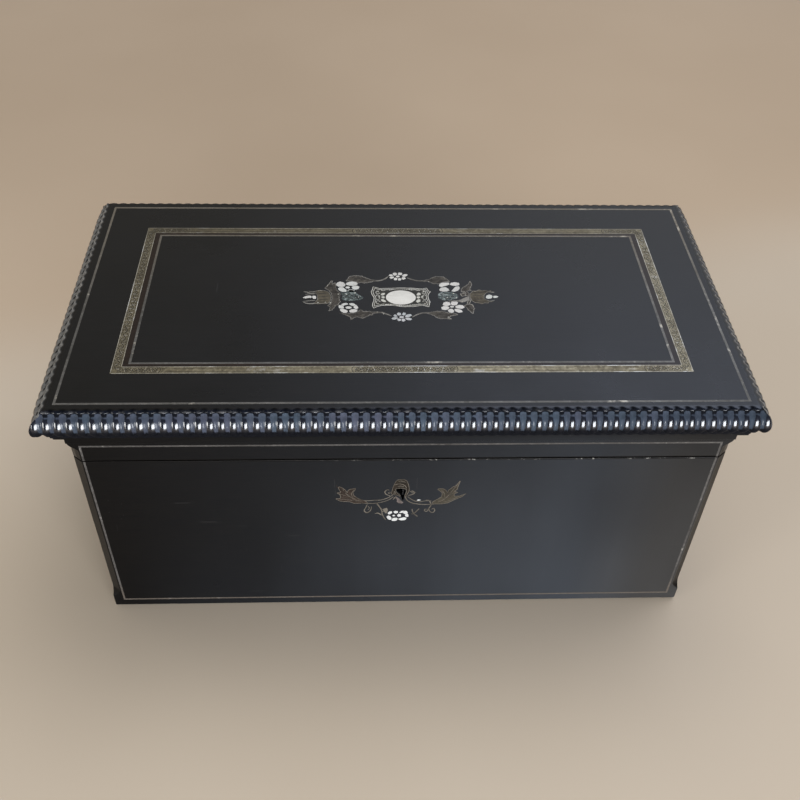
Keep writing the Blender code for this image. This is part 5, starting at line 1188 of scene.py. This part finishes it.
# fine stems and curls: x, z, half width
STEMS = [[(-29.0, 116.8, 0.3), (-25.1, 115.0, 0.34), (-21.1, 114.8, 0.34), (-18.2, 115.2, 0.32), (-14.4, 115.3, 0.36), (-9.8, 117.3, 0.38), (-6.7, 120.2, 0.4)],
         [(-27.5, 112.3, 0.3), (-22.8, 112.1, 0.36), (-18.8, 112.0, 0.36), (-15.0, 112.8, 0.36), (-11.0, 114.3, 0.36), (-8.0, 116.4, 0.34), (-6.2, 118.6, 0.3)],
         [(-6.9, 119.0, 0.3), (-8.6, 119.6, 0.36), (-10.8, 121.0, 0.4), (-11.7, 123.3, 0.42), (-10.3, 125.3, 0.4), (-8.9, 125.0, 0.3)],
         [(-9.6, 122.8, 0.25), (-9.0, 121.8, 0.34), (-8.3, 122.4, 0.3), (-8.6, 123.4, 0.22)],
         [(1.4, 118.6, 0.4), (2.8, 115.0, 0.42), (4.9, 112.9, 0.42), (7.6, 111.6, 0.42), (12.6, 110.5, 0.42), (17.0, 110.5, 0.38), (20.4, 110.6, 0.3)],
         [(3.2, 118.4, 0.34), (5.6, 115.8, 0.36), (8.4, 113.8, 0.36), (11.2, 113.2, 0.32), (14.4, 114.0, 0.28), (18.6, 114.0, 0.3)],
         [(3.4, 119.6, 0.3), (5.7, 120.4, 0.4), (7.4, 121.9, 0.4), (6.4, 123.9, 0.38), (4.6, 123.4, 0.3)], [(5.4, 122.3, 0.25), (6.2, 122.2, 0.3), (8.2, 122.8, 0.2)],
         [(-23.0, 110.9, 0.3), (-24.0, 107.6, 0.36), (-25.0, 104.7, 0.42), (-23.3, 102.6, 0.5), (-21.4, 104.0, 0.42), (-20.4, 106.6, 0.4), (-20.3, 108.8, 0.3)],
         [(-22.4, 109.2, 0.25), (-21.6, 107.2, 0.3), (-22.6, 105.6, 0.3)],
         [(-17.1, 112.8, 0.5), (-15.3, 109.0, 0.5), (-13.8, 105.8, 0.45), (-13.2, 101.6, 0.4), (-12.2, 98.0, 0.36), (-10.8, 95.0, 0.25)],
         [(-18.0, 101.6, 0.25), (-15.8, 102.0, 0.5), (-13.4, 99.8, 0.4)], [(-13.4, 102.6, 0.4), (-12.4, 104.0, 0.4)],
         [(14.9, 114.8, 0.3), (16.8, 114.6, 0.4), (18.0, 112.6, 0.45), (18.6, 110.0, 0.5), (17.9, 107.6, 0.45), (17.0, 105.4, 0.4)],
         [(17.0, 105.4, 0.36), (16.2, 103.5, 0.4), (14.7, 103.9, 0.4), (14.8, 105.7, 0.36), (16.0, 105.5, 0.25)],
         [(17.4, 106.6, 0.3), (17.9, 103.7, 0.36), (20.0, 102.1, 0.42), (21.4, 104.3, 0.44), (20.4, 106.5, 0.4), (19.3, 105.3, 0.3)],
         [(11.0, 106.2, 0.4), (9.2, 103.4, 0.42), (7.4, 101.0, 0.42), (6.0, 101.1, 0.25)], [(6.4, 105.9, 0.28), (6.7, 103.6, 0.4), (7.4, 101.6, 0.3)], [(7.9, 100.6, 0.3), (9.4, 99.2, 0.5), (10.2, 98.1, 0.3)],
         [(-6.3, 115.6, 0.3), (-5.2, 117.6, 0.4), (-4.2, 118.6, 0.3)]]
GLINTS = [[(-5.6, 130.2, 0.2), (-3.0, 131.0, 0.24), (-0.6, 130.6, 0.24), (1.4, 128.8, 0.24), (2.2, 126.6, 0.2)], [(-3.2, 133.6, 0.16), (-0.6, 133.7, 0.26), (1.4, 132.4, 0.16)],
          [(-6.3, 122.4, 0.25), (-5.4, 121.4, 0.6), (-5.2, 123.0, 0.55), (-5.9, 123.8, 0.3)], [(-3.4, 128.4, 0.2), (-1.6, 129.0, 0.3), (0.4, 128.2, 0.2)]]
FRONT_VEINS = [[(-25.6, 113.4), (-31.0, 116.2), (-35.6, 120.4), (-38.6, 126.0)], [(-32.0, 117.0), (-33.2, 121.6), (-31.6, 125.4)], [(-34.0, 118.6), (-38.0, 120.4), (-41.6, 122.2)],
               [(-29.6, 114.6), (-35.6, 115.8), (-41.0, 116.4)], [(22.4, 112.4), (27.0, 115.6), (30.6, 121.6), (33.4, 127.4), (35.4, 131.6)], [(27.4, 116.2), (26.8, 121.0), (24.6, 125.0)],
               [(29.0, 118.6), (32.0, 121.4), (34.6, 122.2)], [(24.8, 112.4), (30.6, 114.2), (35.4, 117.6), (38.4, 119.0)], [(-3.0, 132.3), (-1.0, 132.6), (0.8, 131.9)]]
FRONT_CUTS = [[(-27.0, 113.0), (-31.6, 115.0), (-36.6, 117.6), (-39.6, 118.4)], [(-30.6, 117.6), (-33.4, 118.8), (-36.8, 122.8), (-39.4, 126.4)], [(-31.6, 119.0), (-32.4, 122.0), (-31.0, 124.6)],
              [(23.4, 111.6), (29.0, 113.0), (33.6, 115.8), (36.8, 118.0)], [(25.6, 114.8), (29.0, 117.4), (31.8, 120.2), (33.4, 120.8)], [(28.6, 120.0), (31.6, 124.8), (34.2, 129.0)],
              [(-3.0, 132.3), (-1.0, 132.6), (0.8, 131.9)]]
BLOOM_A = [[(-9.5, 101.8), (-8.6, 103.2), (-7.1, 103.6), (-6.6, 102.3), (-7.6, 101.2), (-8.7, 100.7)], [(-5.6, 103.3), (-4.6, 104.1), (-3.1, 103.7), (-2.8, 102.4), (-4.2, 101.6), (-5.1, 101.9)],
           [(-3.1, 99.8), (-2.3, 101.0), (-1.0, 100.3), (-0.7, 98.7), (-2.2, 98.1), (-3.1, 99.0)], [(-6.7, 95.8), (-5.7, 96.6), (-3.8, 96.9), (-3.0, 96.0), (-3.7, 94.3), (-5.3, 93.8), (-6.6, 94.2)],
           [(-10.0, 98.3), (-9.1, 99.3), (-7.9, 98.6), (-7.1, 96.8), (-7.5, 95.2), (-8.6, 95.4), (-9.7, 96.7)]]
BLOOM_B = [[(-1.9, 102.1), (-0.8, 103.8), (0.8, 104.3), (1.0, 103.1), (-0.1, 102.1)], [(0.5, 102.1), (1.6, 104.1), (3.0, 103.6), (3.6, 101.9), (2.4, 100.8), (1.3, 101.3)],
           [(2.0, 100.0), (3.4, 101.1), (4.1, 100.1), (4.1, 98.1), (2.7, 97.9), (2.1, 99.0)], [(-2.2, 95.6), (-1.2, 96.5), (1.0, 97.3), (2.7, 96.8), (2.4, 95.1), (0.7, 94.4), (-1.2, 94.6)]]


def f_key_brass(x, z):
    return np.minimum(f_poly(x, z, LEAF_LEFT), f_poly(x, z, LEAF_RIGHT))


put_on(shade(plate("escutcheon_arch", trace(lambda x, z: np.maximum(f_poly(x, z, ARCH), -(f_keyhole(x, z) - 0.2)), (-10, 115, 6, 138), step=0.17), *FRONT_IN, face="front"),
             weighted=False), ARCH_METAL, "root", "foliage_brass")
brass = shade(plate("escutcheon", trace(f_key_brass, (-46, 92, 44, 138), step=0.17), *FRONT_IN, face="front"), weighted=False)
put_on(brass, FRONT_FOLIAGE, "root", "foliage_brass", "keyhole_inlay")
Relief("escutcheon_twig_leaf", *FRONT_IN, face="front").shape(eased(TWIG_LEAF)).make(FRONT_RIMS, "root", "foliage_brass")
Relief("escutcheon_petal", *FRONT_ON, face="front").shape(eased(PETAL)).make(FRONT_PALE, "root", "foliage_brass")
edge = Relief("escutcheon_rims", *FRONT_ON, face="front")
for loop in trace(lambda x, z: np.minimum(f_poly(x, z, LEAF_LEFT), np.minimum(f_poly(x, z, LEAF_RIGHT), np.maximum(f_poly(x, z, ARCH), -(f_keyhole(x, z) - 0.2)))) + 0.22,
                  (-46, 92, 44, 138), step=0.19, least=0.5):
    edge.line(loop, 0.17, closed=True)
for s in GLINTS:
    edge.line(s, per=4)
for s in STEMS:
    edge.line([(a, b, r * 0.85) for a, b, r in s], per=4)
for s in FRONT_VEINS[:-1]:
    edge.line([(a, b, 0.15 if 0 < i < len(s) - 1 else 0.08) for i, (a, b) in enumerate(s)], per=4)
edge.make(FRONT_RIMS, "root", "foliage_brass")
cut = Relief("escutcheon_veins", *FRONT_ON, face="front")
for line in FRONT_CUTS:
    cut.line([(a, b, 0.2 if 0 < i < len(line) - 1 else 0.08) for i, (a, b) in enumerate(line)], per=4)
cut.make(MASTIC, "root", "ebonised_wood")
blooms = Relief("escutcheon_flowers", *FRONT_IN, face="front")
for p in BLOOM_A + BLOOM_B:
    blooms.shape(eased(p, 1.12))
blooms.round(-5.5, 99.3, 0.85, 0.85, 12)
blooms.make(FRONT_PEARL, "root", "pearl", "keyhole_flowers")
Relief("escutcheon_fleck", *FRONT_ON, face="front").shape(eased([(9.0, 114.6), (9.9, 115.5), (11.4, 115.3), (11.8, 114.8), (10.4, 114.3)])).make(FRONT_PEARL, "root", "pearl")

# ---- mortises and the keyhole in the boards -----------------------------------
YC0, YC1 = -97.0, -IN_Y - 0.1
CASE_Z0, LEAF = 110.4, 1.5
PLATE_Z = BODY_TOP - LEAF
walls["front"] = carve(
    walls["front"],
    plate("key_cut", [np.array(KEYHOLE)], IN_Y - 2, HALF_Y + 4, face="front"),
    block("lock_mortise", (ORN_X - 28.1, YC0 - 0.1, CASE_Z0 - 0.1), (ORN_X + 28.1, -IN_Y + 2, BODY_TOP + 5)),
    block("selvedge_mortise", (ORN_X - 34.1, YC0 - 0.7, PLATE_Z - 0.1), (ORN_X + 34.1, -IN_Y + 2, BODY_TOP + 5)))
rails["front"] = carve(
    rails["front"],
    block("strike_mortise", (ORN_X - 24.1, YC0 - 0.7, LID_BOTTOM - 2), (ORN_X + 24.1, -IN_Y + 2, LID_BOTTOM + LEAF + 0.1)))
PIVOT_Y, PIVOT_Z = 103.2, 154.3
for key, up, face in (("walls", -1, BODY_TOP), ("rails", 1, LID_BOTTOM)):
    cutters = []
    for k, hx in enumerate((-125.0, 125.0)):
        z = sorted((face - up * 3, face + up * (LEAF + 0.1)))
        cutters.append(block(f"leaf_{key}_{k}", (hx - 25.1, IN_Y + 1.5, z[0]), (hx + 25.1, HALF_Y + 3, z[1])))
        z = sorted((PIVOT_Z, PIVOT_Z + up * 2.9))
        cutters.append(block(f"barrel_{key}_{k}", (hx - 25.15, PIVOT_Y - 2.9, z[0]), (hx + 25.15, HALF_Y + 4, z[1])))
    (walls if key == "walls" else rails)["back"] = carve((walls if key == "walls" else rails)["back"], *cutters)

for side in ("front", "back", "left", "right"):
    look = FRONT_BLACK if side in ("front", "back") else SIDE_BLACK
    put_on(shade(walls[side]), look, "root", "ebonised_wood", side + "_wall")
    put_on(shade(rails[side]), look, "lid", "ebonised_wood", f"lid_{side}_rail")


# ---- CAD nodes that stay ------------------------------------------------------
def carry(node, mat, bevel=0.0, segments=2):
    ob = nodes[node]
    ob.data.materials.clear()
    ob.data.materials.append(mat)
    if bevel:
        b = ob.modifiers.new("eased", "BEVEL")
        b.width = bevel * MM
        b.segments = segments
        b.limit_method = "ANGLE"
        b.angle_limit = math.radians(40)
        b.harden_normals = False


carry("base_board", RAW)
carry("lock_case", STEEL, 0.12)
carry("lock_bolt", STEEL, 0.12)
carry("strike_plate", HINGE_BRASS, 0.12)
for side in ("left", "right"):
    carry(f"hinge_{side}_lower_leaf", HINGE_BRASS)
    carry(f"hinge_{side}_upper_leaf", HINGE_BRASS)
    carry(f"hinge_pin_{side}", PIN)
    carry("lock_screw_" + side, SCREW_BRASS)
    carry("strike_screw_" + side, SCREW_BRASS)
    for leaf in ("lower", "upper"):
        for k in (1, 2):
            carry(f"hinge_screw_{side}_{leaf}_{k}", SCREW_BRASS)


# ---- silk linings and pads ----------------------------------------------------
def pad(name, x0, x1, y0, y1, base, face, depth, step=1.6, roll=6.0):
    """A stuffed pad on a board: its face is a grid, sunk by depth(x, y), and its edges roll over to the board."""
    up = 1.0 if face > base else -1.0
    nx, ny = int((x1 - x0) / step) + 1, int((y1 - y0) / step) + 1
    tx = 0.5 - 0.5 * np.cos(np.linspace(0, math.pi, nx))
    ty = 0.5 - 0.5 * np.cos(np.linspace(0, math.pi, ny))
    tx, ty = 0.25 * tx + 0.75 * np.linspace(0, 1, nx), 0.25 * ty + 0.75 * np.linspace(0, 1, ny)
    gx, gy = np.meshgrid(x0 + (x1 - x0) * tx, y0 + (y1 - y0) * ty, indexing="ij")
    edge = np.minimum(np.minimum(gx - x0, x1 - gx), np.minimum(gy - y0, y1 - gy))
    e = np.clip(edge / roll, 0, 1)
    r = roll * (1 - np.sqrt(np.clip(1 - (1 - e) ** 2, 0, 1)))
    z = face - up * np.maximum(0.0, np.minimum(r + depth(gx, gy) * np.clip(edge / 3.0, 0, 1), abs(face - base) - 1.0))
    verts = np.column_stack((gx.ravel(), gy.ravel(), z.ravel())).tolist()
    idx = np.arange(nx * ny).reshape(nx, ny)
    faces = [(idx[i, j], idx[i + 1, j], idx[i + 1, j + 1], idx[i, j + 1]) for i in range(nx - 1) for j in range(ny - 1)]
    rim = [idx[i, 0] for i in range(nx)] + [idx[-1, j] for j in range(1, ny)] + [idx[i, -1] for i in range(nx - 2, -1, -1)] + \
          [idx[0, j] for j in range(ny - 2, 0, -1)]
    low = len(verts)
    for i in rim:
        verts.append((verts[i][0], verts[i][1], base))
    n = len(rim)
    faces += [(rim[k], low + k, low + (k + 1) % n, rim[(k + 1) % n]) for k in range(n)]
    faces.append(tuple(low + k for k in range(n)))
    return shade(tidy(raw(name, verts, faces)), 60, weighted=False)


PX, PY = 47.85, 44.5                     # a lozenge of the buttoning


def tufting(x, y, deep=9.0):
    """Deep buttoning: pleats run from button to button and the silk swells between."""
    a, b = x / PX + y / PY, x / PX - y / PY
    pa, pb = np.abs(np.sin(math.pi * a)), np.abs(np.sin(math.pi * b))
    pleat = 1 - np.minimum(pa, pb) ** 0.55
    da, db = a - np.round(a), b - np.round(b)
    ux, uy = (da + db) * PX / 2, (da - db) * PY / 2
    d = np.hypot(ux, uy)
    swell = 1 - (pa * pb) ** 0.5
    fold = 0.35 * np.sin(np.arctan2(uy, ux) * 8) * np.exp(-((d - 7) / 4.5) ** 2)
    return deep * (0.30 * swell + 0.20 * pleat + 0.50 * np.exp(-(d / 6.0) ** 1.3)) + fold


lid_quilt = pad("lid_quilting", -191.4, 191.4, -89.0, 89.0, 191.4, 171.0, tufting)
put_on(lid_quilt, SILK, "lid", "silk", "lid_pad")


def button(x, y, z, r=4.2, h=2.2, rings=5, n=20):
    verts, faces = [], []
    for i in range(rings + 1):
        t = math.pi / 2 * i / rings
        for k in range(n):
            a = 2 * math.pi * k / n
            verts.append((x + r * math.cos(t) * math.cos(a), y + r * math.cos(t) * math.sin(a), z - h * math.sin(t)) if i < rings
                         else (x + 0.15 * math.cos(a), y + 0.15 * math.sin(a), z - h))
    for i in range(rings):
        for k in range(n):
            faces.append((i * n + k, i * n + (k + 1) % n, (i + 1) * n + (k + 1) % n, (i + 1) * n + k))
    faces += [tuple(range(n - 1, -1, -1)), tuple(range(rings * n, rings * n + n))]
    return verts, faces


verts, faces = [], []
for i in range(-8, 9):
    for j in range(-8, 9):
        x, y = (i + j) * PX / 2, (i - j) * PY / 2
        if abs(x) < 180 and abs(y) < 78:
            v, f = button(x, y, 171.0 + 9.0 * 0.86)
            faces += [tuple(a + len(verts) for a in q) for q in f]
            verts += v
put_on(shade(tidy(raw("lid_buttons", verts, faces)), 50, weighted=False), SILK_SIDE, "lid", "silk")


def cushion_depth(x, y):
    """The bottom pad: quilted in lozenges with shallow stitched lines."""
    a, b = (x / 32.0 + y / 30.0), (x / 32.0 - y / 30.0)
    pa, pb = np.abs(np.sin(math.pi * a)), np.abs(np.sin(math.pi * b))
    return 3.4 * (1 - (np.minimum(pa, pb)) ** 0.45) + 1.1 * (1 - (pa * pb) ** 0.5)


bottom = pad("bottom_cushion", -IN_X + 2.7, IN_X - 2.7, -IN_Y + 2.7, IN_Y - 2.7, 10.3, 24.0, cushion_depth, roll=5.0)
put_on(bottom, SILK, "root", "silk", "bottom_pad")


def lining(name, side):
    """A thin board covered in silk, the cloth turned over its top edge, softly full in the middle."""
    T, TOP, LOW = 2.0, 149.5, 10.4
    long = side in ("front", "back")
    half = IN_X - GAP if long else IN_Y - 2.6
    nu, nv = (190, 44) if long else (90, 44)
    u = np.linspace(-half, half, nu)
    v = np.linspace(LOW, TOP, nv)
    gu, gv = np.meshgrid(u, v, indexing="ij")
    e = np.minimum(np.minimum(gu + half, half - gu), np.minimum(gv - LOW, TOP - gv))
    r = 1.2
    full = -r * (1 - np.sqrt(np.clip(1 - (1 - np.clip(e / r, 0, 1)) ** 2, 0, 1)))
    ripples = 0.10 * np.sin(gu * 0.33 + 0.6 * np.sin(gv * 0.05)) * np.clip(e / 12, 0, 1)
    d = T + full - 0.15 + ripples
    base = (IN_Y if long else IN_X) - GAP
    off = base - d
    coords = {"front": (gu, -off, gv), "back": (gu, off, gv), "left": (-off, gu, gv), "right": (off, gu, gv)}[side]
    flat_ = {"front": (gu, -base + 0 * gu, gv), "back": (gu, base + 0 * gu, gv), "left": (-base + 0 * gu, gu, gv), "right": (base + 0 * gu, gu, gv)}[side]
    verts = np.column_stack([c.ravel() for c in coords]).tolist()
    idx = np.arange(nu * nv).reshape(nu, nv)
    faces = [(idx[i, j], idx[i + 1, j], idx[i + 1, j + 1], idx[i, j + 1]) for i in range(nu - 1) for j in range(nv - 1)]
    rim = [(i, 0) for i in range(nu)] + [(nu - 1, j) for j in range(1, nv)] + [(i, nv - 1) for i in range(nu - 2, -1, -1)] + [(0, j) for j in range(nv - 2, 0, -1)]
    low = len(verts)
    for i, j in rim:
        verts.append(tuple(c[i, j] for c in flat_))
    n = len(rim)
    faces += [(idx[rim[k]], low + k, low + (k + 1) % n, idx[rim[(k + 1) % n]]) for k in range(n)]
    faces.append(tuple(low + k for k in range(n)))
    ob = tidy(raw(name, verts, faces))
    if side == "front":
        ob = carve(ob, block("lining_notch", (ORN_X - 29, -IN_Y - 1, CASE_Z0 - 1), (ORN_X + 29, -IN_Y + 5, TOP + 5)))
    return shade(ob, 60, weighted=False)


for side in ("front", "back", "left", "right"):
    put_on(lining(side + "_silk", side), SILK if side in ("front", "back") else SILK_SIDE, "root", "silk", side + "_lining")


# ---- floor, light and tone -----------------------------------------------------
def paper_floor():
    m = Mat("floor_paper")
    n = m.noise(2.2, 3, 0.5)
    # brighter and paler in front of the casket, warmer and darker behind it, and darker still far off: painted fall-off
    # of the light on the paper
    near = m.mix(m.fit(n, 0.35, 0.7), (0.518, 0.430, 0.327), (0.564, 0.475, 0.368))
    far = m.mix(m.fit(n, 0.35, 0.7), (0.486, 0.372, 0.259), (0.529, 0.411, 0.291))
    c = m.mix(m.fit(m.math("SUBTRACT", m.axis(1), m.math("MULTIPLY", m.axis(0), 0.25)), 0.17, 0.36, smooth=True), near, far)
    away_ = m.math("SQRT", m.math("ADD", m.math("MULTIPLY", m.axis(0), m.axis(0)), m.math("MULTIPLY", m.axis(1), m.axis(1))))
    c = m.mix(m.fit(away_, 1.0, 2.1, 0.0, 0.72, smooth=True), c, (0.240, 0.198, 0.152))
    fibre = m.noise(120.0, 3, 0.6, m.move((1, 0.12, 1), rot=(0, 0, 0.4)))
    return m.done(c, 0.75, m.bump(fibre, 0.10, 0.0006))


me = bpy.data.meshes.new("floor")
me.from_pydata([(-14, -14, -0.0002), (14, -14, -0.0002), (14, 14, -0.0002), (-14, 14, -0.0002)], [], [(0, 1, 2, 3)])
floor = link(bpy.data.objects.new("floor", me))
floor.data.materials.append(paper_floor())

world = bpy.data.worlds.new("studio")
scene.world = world
world.use_nodes = True
wt = world.node_tree
bg = wt.nodes["Background"]


def w_node(kind, **inputs):
    n = wt.nodes.new(kind)
    for k, v in inputs.items():
        n.inputs[int(k[1:])].default_value = v
    return n


def w_fit(source, a, b):
    n = w_node("ShaderNodeMapRange", i1=a, i2=b)
    n.interpolation_type = "SMOOTHSTEP"
    wt.links.new(source, n.inputs[0])
    return n.outputs[0]


def w_mix(f, a, b):
    n = wt.nodes.new("ShaderNodeMix")
    n.data_type = "RGBA"
    wt.links.new(f, n.inputs[0])
    for v, s in ((a, n.inputs[6]), (b, n.inputs[7])):
        if isinstance(v, tuple):
            s.default_value = (*v, 1.0)
        else:
            wt.links.new(v, s)
    return n.outputs[2]


sep = wt.nodes.new("ShaderNodeSeparateXYZ")
wt.links.new(wt.nodes.new("ShaderNodeTexCoord").outputs["Generated"], sep.inputs[0])
side = w_fit(sep.outputs[0], -0.18, 0.32)
lower = w_mix(side, (0.225, 0.212, 0.184), (0.55, 0.560, 0.565))
upper = w_mix(side, (0.175, 0.166, 0.148), (1.65, 1.86, 2.40))
behind = w_mix(w_fit(sep.outputs[2], 0.54, 0.75), lower, upper)
behind = w_mix(w_fit(sep.outputs[2], 0.80, 0.92), behind, (0.080, 0.083, 0.095))
behind = w_mix(w_fit(sep.outputs[2], 0.02, 0.30), (0.38, 0.33, 0.27), behind)
pale = w_mix(w_fit(sep.outputs[2], 0.45, 0.75), (1.20, 1.14, 1.02), behind)
behind = w_mix(w_fit(sep.outputs[0], -0.74, -0.46), pale, behind)
room = w_mix(w_fit(sep.outputs[1], -0.30, 0.15), (0.19, 0.195, 0.215), behind)
path = wt.nodes.new("ShaderNodeLightPath")
backdrop = w_mix(path.outputs["Is Camera Ray"], room, (0.355, 0.305, 0.235))
wt.links.new(backdrop, bg.inputs["Color"])
bg.inputs["Strength"].default_value = 1.0


def softbox(name, at, to, size, radiance, color=(1, 1, 1), spread=180, mirrored=True):
    """An area light of a given radiance, unseen itself."""
    data = bpy.data.lights.new(name, "AREA")
    data.shape, data.size, data.size_y = "RECTANGLE", size[0], size[1]
    data.energy = math.pi * size[0] * size[1] * radiance
    data.color = color
    data.spread = math.radians(spread)
    ob = link(bpy.data.objects.new(name, data))
    ob.location = at
    ob.rotation_euler = (Vector(to) - Vector(at)).to_track_quat("-Z", "Y").to_euler()
    ob.visible_camera = False
    ob.visible_glossy = mirrored
    return ob


def polar(az, el, dist):
    """A place round the casket: azimuth 0 is in front of it, positive to the right."""
    a, e = math.radians(az), math.radians(el)
    return (dist * math.sin(a) * math.cos(e), -dist * math.cos(a) * math.cos(e), 0.1 + dist * math.sin(e))


softbox("window", polar(13, 9, 2.2), (0, 0, 0.15), (1.7, 0.76), 17.0, (0.94, 0.975, 1.03))
softbox("window_left", polar(-55, 8, 2.2), (0, 0, 0.15), (0.7, 0.62), 11.0, (0.98, 0.98, 0.97))
softbox("overhead", (0.35, 0.55, 2.4), (0, 0.1, 0), (1.8, 1.3), 3.5, (1.0, 0.97, 0.925), mirrored=False)

scene.view_settings.view_transform = "Standard"
scene.view_settings.look = "None"
scene.view_settings.exposure = 0.0
